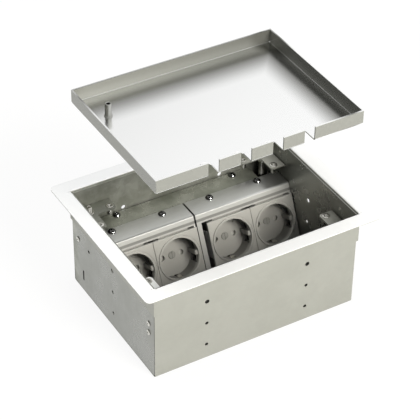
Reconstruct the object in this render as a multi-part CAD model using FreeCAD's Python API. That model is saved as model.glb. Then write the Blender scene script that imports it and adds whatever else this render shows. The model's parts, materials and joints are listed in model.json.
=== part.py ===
import FreeCAD, Part
import math
import os

# Floor socket box, in millimetres. X runs along the front, Y to the back and Z up.
# The origin is the centre of the box's underside, and the lid is shown lifted off.

# Trim frame
box_width = 203.2
box_depth = 151.9
box_height = 100.0
frame_sheet = 1.2
rim_overhang = 13.2
rim_corner_radius = 4.8
skirt_drop = 30.0
bend_inside = 0.6
relief_length = 3.3
relief_width = 0.5

# Tub, a folded trough closed by two side plates
tub_sheet = 1.2
side_flange = 9.0
hole_column_spacing = 100.0
hole_top_z = 64.0
hole_pitch = 24.0
hole_rows = 3
top_hole_radius = 2.1
hole_radius = 1.6
side_hole_y = 44.3
side_hole_z = 53.1
side_slot_y = 56.5
side_slot_low_z = 12.2
side_slot_high_z = 23.2
side_slot_width = 2.4
floor_hole_spacing_x = 160.0
floor_hole_spacing_y = 110.0
floor_hole_radius = 2.75
frame_rivet_y = 48.9
frame_rivet_drop = 12.3
cable_entry_spacing = 75.0
cable_entry_z = 25.0
cable_entry_radius = 10.25
cable_bore_radius = 6.5
grommet_lip = 2.0

# Corner gussets, which carry the lid on levelling screws
gusset_sheet = 1.5
gusset_drop = 20.2
gusset_reach = 34.8
gusset_arm = 15.2
gusset_corner_radius = 3.0
gusset_hole_inset = 10.1
gusset_hole_pitch = 20.1
gusset_leg_width = 15.2
gusset_leg_inset = 1.55
gusset_wall_gap = 0.4
front_gusset_rivet_drops = (46.1, 55.8)
back_gusset_rivet_drops = (46.1,)
gusset_leg_tail = 5.0
nut_flange_radius = 3.6
nut_flange = 0.6
nut_length = 8.0
nut_wall = 1.0
fixing_bore_radius = 1.7
levelling_screw_radius = 2.5
levelling_screw_length = 29.0
levelling_fit = 0.06
levelling_key = 2.5
levelling_rise = 6.1

# Socket carriers
carrier_sheet = 1.5
carrier_bend = 1.0
carrier_lip_y = 6.0
carrier_lip_z = 7.7
carrier_top_depth = 20.0
carrier_lip = 11.0
carrier_tilt = 25.0
carrier_gap = 1.0
carrier_joint_x = -1.0
carrier_side_gap = 0.3
cheek_sheet = 1.0
cheek_depth = 9.0
opening_top = 9.0
opening_foot = 5.4
opening_left_strip = 5.0
opening_right_strip = 2.0
carrier_screw_back = 15.6
carrier_screw_spacing = 50.6
screw_radius = 2.0
screw_head_radius = 3.6
screw_head_height = 2.4
screw_key = 2.2
screw_length = 9.0
tapped_clearance = 0.05

# Rails
rail_sheet = 1.5
rail_front_lip = 8.0
rail_front_overlap = 9.2
rail_back_gap = 1.5
rail_end_gap = 1.9
rail_notch_clearance = 9.3
rail_screw_x = 60.0
rail_screw_inset = 5.35
rail_bracket_width = 18.0
rail_bracket_reach = 15.0
rail_bracket_leg = 18.0
rail_bracket_sheet = 2.0
rail_bracket_rivet_spacing = 10.0
rail_bracket_rivet_drop = 10.0
front_rail_offset = 2.5
front_rail_flange = 10.0
front_rail_foot = 11.5
front_rail_end_gap = 0.6
front_rail_rivet_x = 70.0

# Socket inserts, in the sloping face's own frame
plate_left_gap = 3.35
plate_pair_gap = 0.3
plate_right_inset = 0.35
plate_extra_height = 0.3
plate_proud = 2.4
plate_edge_radius = 0.5
plate_top_gap = 1.5
plate_foot_gap = 1.1
skirt_wall = 1.2
skirt_side_inset = 1.9
ring_margin = 1.65
ring_width = 1.8
ring_height = 0.6
ring_groove = 0.5
well_depth = 17.0
well_wall = 1.4
disc_thickness = 2.2
pin_spacing = 19.0
pin_hole_radius = 2.45
guide_rib_width = 4.4
guide_rib_height = 2.6
guide_rib_start = 1.4
window_near_y = 2.2
window_far_y = 9.8
window_start = 2.6
window_end = 14.0
wing_start = 3.2
wing_end = 7.6
wing_far_y = 8.4
wing_tip = 1.2
hook_width = 30.0
hook_thickness = 1.5
hook_reach = 2.2
hook_clearance = 0.1
strap_sheet = 0.8
strap_width = 4.4
strap_setback = 0.9
strap_reach = 11.0
strap_bulge = 2.2
strap_slot_margin = 0.3
strap_bend = 0.8
base_margin = 1.1
base_short = 6.0
base_depth = 13.8
base_end_wall = 1.0
terminal_radius = 1.4
terminal_depth = 5.0
terminal_pitch = 6.0

# Shutter and what lies behind it
shutter_thickness = 1.9
shutter_half_height = 5.0
shutter_cover = 0.1
shutter_gap = 0.35
shutter_window_half_height = 3.4
spring_sheet = 0.3
spring_half_height = 2.4
spring_folds = 6
spring_width = 1.5
contact_radius = 3.2
contact_wall = 0.8
contact_length = 8.6
contact_slit = 0.8
centre_screw_radius = 1.4
centre_screw_head_radius = 3.2
centre_screw_head = 1.2
centre_screw_sunk = 0.9
centre_screw_length = 11.0

# Lid tray
lid_side_gap = 1.25
lid_end_gap = 1.0
lid_height = 13.8
lid_sheet = 1.2
lid_bend = 0.6
lid_offset_x = 0.6
lid_offset_y = -0.4
lid_raised_z = 193.1
lid_slot_count = 4
lid_slot_pitch = 30.2
lid_slot_width = 10.1
lid_slot_reach = 17.4
lid_corner_relief = 1.6
sleeve_radius = 2.9
sleeve_bore_radius = 1.65
sleeve_from_left = 17.6
sleeve_from_back = 32.8

# Rivets and the earth stud
rivet_radius = 1.6
rivet_head_radius = 2.6
rivet_head_height = 1.1
rivet_tail_radius = 2.1
rivet_tail_height = 1.4
rivet_fit = 0.05
flush_tail_height = 0.3
stud_from_side = 17.2
stud_from_front = 43.5
stud_radius = 2.5
stud_length = 16.0
stud_foot_radius = 6.0
stud_foot = 1.0
stud_nut_flats = 8.0
stud_nut_height = 4.0
stud_washer_radius = 5.0
stud_washer = 1.0
stud_thread_fit = 0.05

# Sizes that follow from the ones above
bend_outside = bend_inside + frame_sheet
tub_width = box_width - 2 * frame_sheet
tub_depth = box_depth - 2 * frame_sheet
tub_top = box_height - bend_outside
inner_x = tub_width / 2 - tub_sheet
inner_y = tub_depth / 2 - tub_sheet
gusset_top = box_height - gusset_drop
gusset_low = gusset_top - gusset_sheet
gusset_hole_x = inner_x - gusset_hole_inset
gusset_hole_y = inner_y - gusset_hole_inset
gusset_rivet_y = inner_y - gusset_leg_inset - gusset_leg_width / 2
levelling_bore = levelling_screw_radius + levelling_fit
levelling_top = gusset_top + levelling_rise
flange_top = gusset_low - 2.0
carrier_end = inner_x - carrier_side_gap
opening_spare = opening_left_strip + plate_left_gap + plate_pair_gap + plate_right_inset
plate_width = (carrier_end - carrier_gap / 2 - opening_spare) / 2
plate_height = plate_width + plate_extra_height
socket_pitch = plate_width + plate_pair_gap
plate_centre_down = opening_top + plate_top_gap + plate_height / 2
opening_height = plate_top_gap + plate_height + plate_foot_gap
ring_outer_radius = plate_width / 2 - ring_margin
well_radius = ring_outer_radius - ring_width
face_tilt = math.radians(carrier_tilt)
carrier_face_length = opening_top + opening_height + opening_foot
carrier_fold_y = carrier_lip_y + carrier_face_length * math.sin(face_tilt)
carrier_fold_z = carrier_lip_z + carrier_face_length * math.cos(face_tilt)
carrier_screw_y = carrier_fold_y + carrier_screw_back
rail_top = carrier_fold_z - carrier_sheet
rail_front_y = carrier_fold_y + carrier_top_depth - rail_front_overlap
rail_back_y = inner_y - rail_back_gap
rail_half_length = inner_x - rail_end_gap
rail_low = rail_top - rail_sheet
rail_notch_x = gusset_hole_x - rail_notch_clearance
rail_notch_y = gusset_hole_y - rail_notch_clearance
rail_screw_y = inner_y - rail_screw_inset
front_rail_y = carrier_lip_y + front_rail_offset
front_rail_half = inner_x - side_flange - front_rail_end_gap
disc_top = plate_proud - well_depth
disc_low = disc_top - disc_thickness
shutter_top = disc_low - strap_sheet - shutter_gap
shutter_low = shutter_top - shutter_thickness
pocket_floor = shutter_low - shutter_gap
shutter_zone = pin_hole_radius + shutter_cover
shutter_half_length = pin_spacing / 2 + shutter_zone
strap_half_span = well_radius + strap_setback
base_width = plate_width - base_margin
base_height = plate_height - base_short
pocket_left = -shutter_half_length - shutter_gap
pocket_right = base_width / 2 - base_end_wall
spring_space = pocket_right - shutter_gap - shutter_half_length
lid_width = 2 * (inner_x - lid_side_gap)
lid_depth = 2 * (inner_y - lid_end_gap)
stud_x = stud_from_side - inner_x
stud_y = stud_from_front - inner_y

X = FreeCAD.Vector(1, 0, 0)
Y = FreeCAD.Vector(0, 1, 0)
Z = FreeCAD.Vector(0, 0, 1)


# Helpers

def point(x, y, z):
    return FreeCAD.Vector(x, y, z)


def block(low, high):
    size = [high[i] - low[i] for i in range(3)]
    return Part.makeBox(size[0], size[1], size[2], point(*low))


def rod(radius, start, direction, length):
    return Part.makeCylinder(radius, length, start, direction)


def tube(outer_radius, inner_radius, start, direction, length):
    outer = rod(outer_radius, start, direction, length)
    return outer.cut(rod(inner_radius, start, direction, length))


def joined(shapes):
    whole = shapes[0].multiFuse(shapes[1:]) if len(shapes) > 1 else shapes[0]
    return whole.removeSplitter()


def without(shape, cutters):
    for cutter in cutters:
        shape = shape.cut(cutter)
    return shape


def mirrored(shape, flip_x, flip_y):
    if flip_x:
        shape = shape.mirror(point(0, 0, 0), X)
    if flip_y:
        shape = shape.mirror(point(0, 0, 0), Y)
    return shape


def placed(shape, start, rotation):
    turned = shape.copy()
    turned.Placement = FreeCAD.Placement(start, rotation).multiply(shape.Placement)
    return turned


def aimed(shape, start, direction):
    # Turns a shape made along +Z so that it points along the direction.
    return placed(shape, start, FreeCAD.Rotation(Z, direction))


def unit(a, b):
    length = math.hypot(b[0] - a[0], b[1] - a[1])
    return ((b[0] - a[0]) / length, (b[1] - a[1]) / length)


def shifted_left(points, distance):
    # The same open outline, moved to its left by the distance.
    runs = [unit(a, b) for a, b in zip(points, points[1:])]
    sides = [(-run[1], run[0]) for run in runs]
    moved = []
    for index, corner in enumerate(points):
        before = sides[max(index - 1, 0)]
        after = sides[min(index, len(sides) - 1)]
        share = distance / (1 + before[0] * after[0] + before[1] * after[1])
        moved.append((corner[0] + (before[0] + after[0]) * share,
                      corner[1] + (before[1] + after[1]) * share))
    return moved


def straight(start, end, place):
    if math.dist(start, end) < 1e-6:
        return []
    return [Part.LineSegment(place(*start), place(*end)).toShape()]


def outline_edges(points, radius_left, radius_right, place):
    # Straight runs joined by arcs, with one radius for left turns and one for right turns.
    edges = []
    start = points[0]
    for before, corner, after in zip(points, points[1:], points[2:]):
        run_in = unit(before, corner)
        run_out = unit(corner, after)
        cross = run_in[0] * run_out[1] - run_in[1] * run_out[0]
        dot = run_in[0] * run_out[0] + run_in[1] * run_out[1]
        half_turn = math.atan2(abs(cross), dot) / 2
        radius = radius_left if cross > 0 else radius_right
        reach = radius * math.tan(half_turn)
        inward = unit(run_in, run_out)
        depth = radius / math.cos(half_turn) - radius
        arc_start = (corner[0] - run_in[0] * reach, corner[1] - run_in[1] * reach)
        arc_mid = (corner[0] + inward[0] * depth, corner[1] + inward[1] * depth)
        arc_end = (corner[0] + run_out[0] * reach, corner[1] + run_out[1] * reach)
        edges += straight(start, arc_start, place)
        edges.append(Part.Arc(place(*arc_start), place(*arc_mid), place(*arc_end)).toShape())
        start = arc_end
    return edges + straight(start, points[-1], place)


def bent_sheet(points, thickness, inside_radius, place, sweep):
    # A folded sheet: the outline is one face of it, and the metal lies on the outline's left.
    outside_radius = inside_radius + thickness
    other = shifted_left(points, thickness)
    edges = outline_edges(points, outside_radius, inside_radius, place)
    edges += outline_edges(other, inside_radius, outside_radius, place)
    edges += straight(points[0], other[0], place)
    edges += straight(points[-1], other[-1], place)
    wire = Part.Wire(Part.__sortEdges__(edges))
    return Part.Face(wire).extrude(sweep)


def hex_prism(flats, height, start):
    corner = flats / math.sqrt(3)
    angles = [math.radians(60 * turn) for turn in range(7)]
    ring = [start + point(corner * math.cos(a), corner * math.sin(a), 0) for a in angles]
    return Part.Face(Part.makePolygon(ring)).extrude(Z * height)


def domed_head(radius, height):
    # A pan head that stands on the XY plane, with a straight edge and a low dome.
    edge = height * 0.35
    rise = (point(0, 0, height), point(radius * 0.68, 0, height * 0.84), point(radius, 0, edge))
    dome = Part.Arc(*rise).toShape()
    side = Part.makePolygon([point(radius, 0, edge), point(radius, 0, 0), point(0, 0, 0),
                             point(0, 0, height)])
    outline = Part.Wire([dome] + side.Edges)
    return Part.Face(outline).revolve(point(0, 0, 0), Z, 360)


def pan_screw(start, direction):
    # The head's underside is at the start, and the shank runs the other way.
    head = domed_head(screw_head_radius, screw_head_height)
    key = hex_prism(screw_key, screw_head_height, point(0, 0, screw_head_height * 0.45))
    shank = rod(screw_radius, point(0, 0, -screw_length), Z, screw_length)
    return aimed(joined([head, shank]).cut(key), start, direction)


def rivet(start, direction, grip, tail_height=rivet_tail_height):
    # A blind rivet: the head stands on the outer face, and the tail on the inner one.
    head = domed_head(rivet_head_radius, rivet_head_height)
    shank = rod(rivet_radius, point(0, 0, -grip - tail_height), Z, grip + tail_height)
    tail = rod(rivet_tail_radius, point(0, 0, -grip - tail_height), Z, tail_height)
    return aimed(joined([head, shank, tail]), start, direction)


def rivet_hole(start, direction, grip):
    return rod(rivet_radius + rivet_fit, start + direction, direction * -1, grip + 2)


def signs():
    return [(-1, -1), (1, -1), (-1, 1), (1, 1)]


def corner_name(side, end):
    return ("front" if end < 0 else "back") + "_" + ("left" if side < 0 else "right")


# Trim frame

def rim_strip(half_length, distance, place):
    # One side's bend at the opening, with the top of the skirt under it.
    rim_edge = distance + bend_outside
    points = [(rim_edge, box_height), (distance, box_height), (distance, tub_top - bend_inside)]
    return bent_sheet(points, frame_sheet, bend_inside,
                      lambda u, v: place(u, v, -half_length), place(0, 0, 2 * half_length))


def trim_frame():
    opening_x = box_width / 2 - frame_sheet
    opening_y = box_depth / 2 - frame_sheet
    outer_x = box_width / 2 + rim_overhang
    outer_y = box_depth / 2 + rim_overhang
    low = box_height - frame_sheet
    rim = block((-outer_x, -outer_y, low), (outer_x, outer_y, box_height))
    corners = [edge for edge in rim.Edges if edge.tangentAt(0).isEqual(Z, 1e-6)
               or edge.tangentAt(0).isEqual(Z * -1, 1e-6)]
    rim = rim.makeFillet(rim_corner_radius, corners)
    flat_x = opening_x + bend_outside
    flat_y = opening_y + bend_outside
    rim = rim.cut(block((-flat_x, -flat_y, low - 1), (flat_x, flat_y, box_height + 1)))
    parts = [rim]
    for side in (-1, 1):
        parts.append(rim_strip(opening_y, opening_x, lambda u, v, w: point(side * u, w, v)))
        parts.append(rim_strip(opening_x, opening_y, lambda u, v, w: point(w, side * u, v)))
        skirt_low = box_height - skirt_drop
        skirt_high = tub_top
        near, far = sorted((side * opening_x, side * box_width / 2))
        parts.append(block((near, -opening_y, skirt_low), (far, opening_y, skirt_high)))
        near, far = sorted((side * opening_y, side * box_depth / 2))
        parts.append(block((-box_width / 2, near, skirt_low), (box_width / 2, far, skirt_high)))
    for side, end in signs():
        near_x, far_x = sorted((side * opening_x, side * flat_x))
        near_y, far_y = sorted((end * opening_y, end * flat_y))
        parts.append(block((near_x, near_y, low), (far_x, far_y, box_height)))
        near_x, far_x = sorted((side * opening_x, side * box_width / 2))
        near_y, far_y = sorted((end * opening_y, end * box_depth / 2))
        parts.append(block((near_x, near_y, tub_top - 1), (far_x, far_y, box_height)))
    frame = joined(parts)
    for side, end in signs():
        near_x, far_x = sorted((side * (opening_x - relief_width / 2),
                                side * (opening_x + relief_length)))
        middle_y = end * opening_y
        slit = block((near_x, middle_y - relief_width / 2, tub_top - bend_inside),
                     (far_x, middle_y + relief_width / 2, box_height + 1))
        frame = frame.cut(slit)
    return without(frame, frame_rivet_holes())


def frame_rivet_places():
    height = box_height - frame_rivet_drop
    return [(point(side * box_width / 2, end * frame_rivet_y, height), X * side)
            for side, end in signs()]


def frame_rivet_holes():
    grip = frame_sheet + tub_sheet
    return [rivet_hole(start, way, grip) for start, way in frame_rivet_places()]


def frame_rivets():
    grip = frame_sheet + tub_sheet
    return [rivet(start, way, grip, flush_tail_height) for start, way in frame_rivet_places()]


# Tub

def hole_column(x, y, direction, deep):
    holes = []
    for row in range(hole_rows):
        radius = top_hole_radius if row == 0 else hole_radius
        start = point(x, y, hole_top_z - row * hole_pitch)
        holes.append(rod(radius, start - direction * deep, direction, 2 * deep))
    return holes


def cable_entry_places():
    return [point(step * cable_entry_spacing, tub_depth / 2, cable_entry_z) for step in (-1, 0, 1)]


def box_trough():
    front = -tub_depth / 2
    back = tub_depth / 2
    points = [(front, tub_top), (front, 0), (back, 0), (back, tub_top)]
    half = tub_width / 2
    trough = bent_sheet(points, tub_sheet, bend_inside,
                        lambda u, v: point(-half, u, v), X * tub_width)
    cutters = []
    for side in (-1, 1):
        column_x = side * hole_column_spacing / 2
        cutters += hole_column(column_x, front, Y, 3 * tub_sheet)
        cutters += hole_column(column_x, back, Y, 3 * tub_sheet)
    for side, end in signs():
        start = point(side * floor_hole_spacing_x / 2, end * floor_hole_spacing_y / 2, -1)
        cutters.append(rod(floor_hole_radius, start, Z, 2 * tub_sheet + 2))
    for start in cable_entry_places():
        cutters.append(rod(cable_entry_radius, start - Y * 4 * tub_sheet, Y, 8 * tub_sheet))
    cutters += [rivet_hole(start, Y, tub_sheet) for start in bracket_rivet_places()]
    cutters += [rivet_hole(start, Z * -1, tub_sheet) for start in front_rail_rivet_places()]
    return without(trough, cutters)


def side_plate(side):
    # A plate with flanges along its front, back and lower edges, inside the trough.
    corner_radius = bend_inside + 1.5
    outer = tub_width / 2
    reach = outer - tub_sheet - side_flange

    def pan(inset, height, near, far):
        half = inner_y - inset
        floor = tub_sheet + inset
        pan_block = block((near, -half, floor), (far, half, height))
        low_edges = [edge for edge in pan_block.Edges
                     if abs(edge.CenterOfMass.z - floor) < 1e-6
                     and abs(abs(edge.CenterOfMass.y) - half) < 1e-6]
        return pan_block.makeFillet(corner_radius - min(inset, bend_inside), low_edges)

    body = pan(0, tub_top, reach, outer)
    body = body.cut(pan(tub_sheet, tub_top + 1, reach - 1, outer - tub_sheet))
    body = body.cut(block((reach - 1, -inner_y - 1, flange_top),
                          (outer - tub_sheet, inner_y + 1, tub_top + 1)))
    cutters = hole_column(outer, 0, X, 3 * tub_sheet)
    start = point(outer + 1, side_hole_y, side_hole_z)
    cutters.append(rod(hole_radius, start, X * -1, 3 * tub_sheet))
    slot_half = side_slot_width / 2
    cutters.append(block((outer - 2 * tub_sheet, side_slot_y - slot_half, side_slot_low_z),
                         (outer + 1, side_slot_y + slot_half, side_slot_high_z)))
    plate = mirrored(without(body, cutters), side < 0, False)
    holes = [hole for hole in frame_rivet_holes() + gusset_rivet_holes()
             if hole.CenterOfMass.x * side > 0]
    return without(plate, holes)


def grommet(start):
    # A ring that grips both faces of the back wall, with a bore for the cable.
    lip_radius = cable_entry_radius + grommet_lip
    half = tub_sheet / 2 + grommet_lip
    middle = start - Y * (tub_sheet / 2)
    body = rod(lip_radius, middle - Y * half, Y, 2 * half)
    groove = tube(lip_radius + 1, cable_entry_radius, middle - Y * (tub_sheet / 2), Y, tub_sheet)
    bore = rod(cable_bore_radius, middle - Y * (half + 1), Y, 2 * half + 2)
    return without(body, [groove, bore])


# Corner gussets

def gusset_rivet_places():
    places = []
    for side, end in signs():
        drops = front_gusset_rivet_drops if end < 0 else back_gusset_rivet_drops
        for drop in drops:
            start = point(side * tub_width / 2, end * gusset_rivet_y, box_height - drop)
            places.append((start, X * side))
    return places


def gusset_rivet_holes():
    grip = tub_sheet + gusset_sheet
    return [rivet_hole(start, way, grip) for start, way in gusset_rivet_places()]


def gusset_rivets():
    grip = tub_sheet + gusset_sheet
    return [rivet(start, way, grip) for start, way in gusset_rivet_places()]


def nut_outer(bore_radius):
    return bore_radius + nut_wall


def corner_gusset(side, end):
    # Made for the back right corner, then mirrored: two arms, and a leg down the side wall.
    leg_low = box_height - max(front_gusset_rivet_drops) - gusset_leg_tail
    points = [(inner_x, leg_low), (inner_x, gusset_top), (inner_x - gusset_reach, gusset_top)]
    back = inner_y - gusset_wall_gap
    front = inner_y - gusset_reach
    body = bent_sheet(points, gusset_sheet, bend_inside,
                      lambda u, v: point(u, front, v), Y * (back - front))
    leg_back = inner_y - gusset_leg_inset
    leg_front = leg_back - gusset_leg_width
    leg_high = gusset_low - bend_inside
    thick = 2 * gusset_sheet
    body = body.cut(block((inner_x - thick, front - 1, leg_low - 1),
                          (inner_x + 1, leg_front, leg_high)))
    body = body.cut(block((inner_x - thick, leg_back, leg_low - 1),
                          (inner_x + 1, back + 1, leg_high)))
    tip_x = inner_x - gusset_reach
    turn_x = inner_x - gusset_arm
    turn_y = inner_y - gusset_arm
    body = body.cut(block((tip_x - 1, front - 1, gusset_low - 1), (turn_x, turn_y, gusset_top + 1)))
    rounded = [point(turn_x, front, 0), point(tip_x, turn_y, 0), point(turn_x, turn_y, 0)]
    upright = [edge for edge in body.Edges
               if abs(edge.Length - gusset_sheet) < 1e-6
               and edge.CenterOfMass.z > gusset_low
               and any(corner.distanceToPoint(point(edge.CenterOfMass.x, edge.CenterOfMass.y, 0))
                       < 1e-3 for corner in rounded)]
    body = body.makeFillet(gusset_corner_radius, upright)
    foot = [edge for edge in body.Edges
            if abs(edge.Length - gusset_sheet) < 1e-6 and edge.CenterOfMass.z < leg_low + 1e-3]
    body = body.makeFillet(gusset_corner_radius, foot)
    holes = [rod(nut_outer(radius), point(x, y, gusset_low - 1), Z, gusset_sheet + 2)
             for x, y, radius in gusset_hole_places(1, 1)]
    body = without(body, holes)
    body = mirrored(body, side < 0, end < 0)
    return without(body, [hole for hole in gusset_rivet_holes()
                          if hole.CenterOfMass.x * side > 0 and hole.CenterOfMass.y * end > 0])


def gusset_hole_places(side, end):
    near_x = side * gusset_hole_x
    near_y = end * gusset_hole_y
    far_x = side * (gusset_hole_x - gusset_hole_pitch)
    far_y = end * (gusset_hole_y - gusset_hole_pitch)
    return [(near_x, near_y, levelling_bore), (far_x, near_y, fixing_bore_radius),
            (near_x, far_y, fixing_bore_radius)]


def rivet_nut(x, y, bore_radius):
    flange = rod(nut_flange_radius + bore_radius - fixing_bore_radius,
                 point(x, y, gusset_top), Z, nut_flange)
    body = rod(nut_outer(bore_radius), point(x, y, gusset_top - nut_length), Z, nut_length)
    bore = rod(bore_radius, point(x, y, gusset_top - nut_length - 1), Z, nut_length + 3)
    return joined([flange, body]).cut(bore)


def rivet_nuts():
    return [rivet_nut(x, y, radius) for side, end in signs()
            for x, y, radius in gusset_hole_places(side, end)]


def levelling_screw(side, end):
    x, y, bore = gusset_hole_places(side, end)[0]
    low = levelling_top - levelling_screw_length
    shank = rod(levelling_screw_radius, point(x, y, low), Z, levelling_screw_length)
    rims = [edge for edge in shank.Edges if edge.Curve.TypeId == "Part::GeomCircle"]
    shank = shank.makeChamfer(0.4, rims)
    return shank.cut(hex_prism(levelling_key, levelling_key, point(x, y, levelling_top - 2.2)))


# Rails

def bracket_rivet_places():
    height = rail_low - rail_bracket_rivet_drop
    half = rail_bracket_rivet_spacing / 2
    return [point(side * rail_screw_x + step * half, tub_depth / 2, height)
            for side in (-1, 1) for step in (-1, 1)]


def front_rail_rivet_places():
    y = front_rail_y + front_rail_flange + rail_sheet + front_rail_foot / 2
    return [point(side * front_rail_rivet_x, y, 0) for side in (-1, 1)]


def rear_rail():
    # A shelf with a lip folded down at its front, notched round the levelling screws.
    points = [(rail_back_y, rail_top), (rail_front_y, rail_top),
              (rail_front_y, rail_top - rail_front_lip)]
    rail = bent_sheet(points, rail_sheet, bend_inside,
                      lambda u, v: point(-rail_half_length, u, v), X * (2 * rail_half_length))
    cutters = []
    for side in (-1, 1):
        near, far = sorted((side * rail_notch_x, side * (rail_half_length + 1)))
        cutters.append(block((near, rail_notch_y, rail_low - 1),
                             (far, rail_back_y + 1, rail_top + 1)))
        start = point(side * rail_screw_x, rail_screw_y, rail_low - 1)
        cutters.append(rod(screw_radius + tapped_clearance, start, Z, rail_sheet + 2))
    for x in carrier_screw_xs():
        start = point(x, carrier_screw_y, rail_low - 1)
        cutters.append(rod(screw_radius + tapped_clearance, start, Z, rail_sheet + 2))
    return without(rail, cutters)


def rail_brackets():
    brackets = []
    for side in (-1, 1):
        start_x = side * rail_screw_x - rail_bracket_width / 2
        points = [(inner_y, rail_low - rail_bracket_leg), (inner_y, rail_low),
                  (inner_y - rail_bracket_reach, rail_low)]
        bracket = bent_sheet(points, rail_bracket_sheet, bend_inside,
                             lambda u, v: point(start_x, u, v), X * rail_bracket_width)
        grip = tub_sheet + rail_bracket_sheet
        cutters = [rivet_hole(start, Y, grip) for start in bracket_rivet_places()]
        start = point(side * rail_screw_x, rail_screw_y, rail_low - 2 * rail_bracket_sheet)
        cutters.append(rod(screw_radius + tapped_clearance, start, Z, 3 * rail_bracket_sheet))
        brackets.append(without(bracket, cutters))
    return brackets


def rail_bracket_rivets():
    grip = tub_sheet + rail_bracket_sheet
    return [rivet(start, Y, grip) for start in bracket_rivet_places()]


def rail_screws():
    return [pan_screw(point(side * rail_screw_x, rail_screw_y, rail_top), Z) for side in (-1, 1)]


def front_rail():
    # A folded step on the floor, under the carriers' lower lips.
    top = carrier_lip_z - rail_sheet
    web = front_rail_y + front_rail_flange
    points = [(front_rail_y, top), (web, top), (web, tub_sheet), (web + front_rail_foot, tub_sheet)]
    rail = bent_sheet(points, rail_sheet, bend_inside,
                      lambda u, v: point(-front_rail_half, u, v), X * (2 * front_rail_half))
    holes = [rivet_hole(start, Z * -1, tub_sheet + rail_sheet)
             for start in front_rail_rivet_places()]
    return without(rail, holes)


def front_rail_rivets():
    # Countersunk from below, so that the underside stays flat.
    rivets = []
    for start in front_rail_rivet_places():
        grip = tub_sheet + rail_sheet
        shank = rod(rivet_radius, start, Z, grip)
        head = domed_head(rivet_head_radius, rivet_head_height)
        head.translate(start + Z * grip)
        rivets.append(joined([shank, head]))
    return rivets


# Socket carriers

def carrier_spans():
    # Where each of the two carriers starts and ends along the box.
    half_gap = carrier_gap / 2
    return [(-carrier_end, carrier_joint_x - half_gap), (carrier_joint_x + half_gap, carrier_end)]


def screw_xs_between(left, right):
    return [(left + right) / 2 + step * carrier_screw_spacing / 2 for step in (-1, 1)]


def carrier_screw_xs():
    return [x for left, right in carrier_spans() for x in screw_xs_between(left, right)]


def on_face(shape, x):
    # Local X runs along the fold, local Y up the sloping face and local Z out of it.
    turn = FreeCAD.Rotation(X, 90 - carrier_tilt)
    return placed(shape, point(x, carrier_fold_y, carrier_fold_z), turn)


def socket_carrier(left, right):
    width = right - left
    points = [(carrier_fold_y + carrier_top_depth, carrier_fold_z),
              (carrier_fold_y, carrier_fold_z), (carrier_lip_y, carrier_lip_z),
              (carrier_lip_y + carrier_lip, carrier_lip_z)]
    body = bent_sheet(points, carrier_sheet, carrier_bend,
                      lambda u, v: point(left, u, v), X * width)
    opening_low = -opening_top - opening_height
    for edge in (0, width - cheek_sheet):
        cheek = block((edge, opening_low, -carrier_sheet - cheek_depth),
                      (edge + cheek_sheet, -opening_top, -carrier_sheet / 2))
        body = body.fuse(on_face(cheek, left))
    opening = block((opening_left_strip, opening_low, -2 * carrier_sheet),
                    (width - opening_right_strip, -opening_top, carrier_sheet))
    body = body.cut(on_face(opening, left)).removeSplitter()
    holes = [rod(screw_radius + 2 * tapped_clearance,
                 point(x, carrier_screw_y, carrier_fold_z + 1), Z * -1, carrier_sheet + 2)
             for x in screw_xs_between(left, right)]
    return without(body, holes)


def carrier_screws():
    return [pan_screw(point(x, carrier_screw_y, carrier_fold_z), Z) for x in carrier_screw_xs()]


# Socket inserts, each made about the centre of its well

def socket_xs():
    rights = [right - plate_right_inset - plate_width / 2 for left, right in carrier_spans()]
    return [x for right in rights for x in (right - socket_pitch, right)]


def seated(shape, x):
    moved = shape.copy()
    moved.translate(point(0, -plate_centre_down, 0))
    return on_face(moved, x)


def plate_cover():
    # The square front with its raised ring and the fine groove round the ring.
    half_w = plate_width / 2
    half_h = plate_height / 2
    cover = block((-half_w, -half_h, 0), (half_w, half_h, plate_proud))
    rim = [edge for edge in cover.Edges if edge.CenterOfMass.z > plate_proud - 1e-6]
    cover = cover.makeFillet(plate_edge_radius, rim)
    ring = rod(ring_outer_radius, point(0, 0, plate_proud - 1), Z, 1 + ring_height)
    ring_edge = [edge for edge in ring.Edges if edge.CenterOfMass.z > plate_proud
                 and edge.Curve.TypeId == "Part::GeomCircle"]
    ring = ring.makeFillet(ring_height * 0.6, ring_edge)
    groove = tube(ring_outer_radius + ring_groove, ring_outer_radius,
                  point(0, 0, plate_proud - ring_groove), Z, 2 * ring_groove)
    return joined([cover.cut(groove), ring])


def plate_skirt():
    # Walls behind the cover that go through the carrier's opening, with a snap ledge at each end.
    half_w = plate_width / 2 - skirt_side_inset
    half_h = plate_height / 2
    outer = block((-half_w, -half_h, disc_low), (half_w, half_h, 1))
    inner = block((-half_w + skirt_wall, -half_h + skirt_wall, disc_low - 1),
                  (half_w - skirt_wall, half_h - skirt_wall, 2))
    walls = [outer.cut(inner)]
    high = -carrier_sheet - hook_clearance
    for end in (-1, 1):
        near, far = sorted((end * (half_h - skirt_wall), end * (half_h + hook_reach)))
        walls.append(block((-hook_width / 2, near, high - hook_thickness),
                           (hook_width / 2, far, high)))
    return joined(walls)


def wall_window(side, end):
    # An opening in the well's wall beside the guide rib, apart from a tapered wing on the rib.
    outer_x = plate_width / 2 - skirt_side_inset
    near_x, far_x = sorted((side * (well_radius - 4), side * (outer_x + 1)))
    near_y, far_y = sorted((end * window_near_y, end * window_far_y))
    opening = block((near_x, near_y, plate_proud - window_end),
                    (far_x, far_y, plate_proud - window_start))
    corners = [(window_near_y - 1, wing_start), (wing_far_y, wing_start),
               (wing_far_y, wing_start + wing_tip), (window_near_y - 1, wing_end)]
    outline = [point(near_x, end * y, plate_proud - depth) for y, depth in corners]
    wing = Part.Face(Part.makePolygon(outline + outline[:1])).extrude(X * (far_x - near_x))
    return opening.cut(wing)


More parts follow.
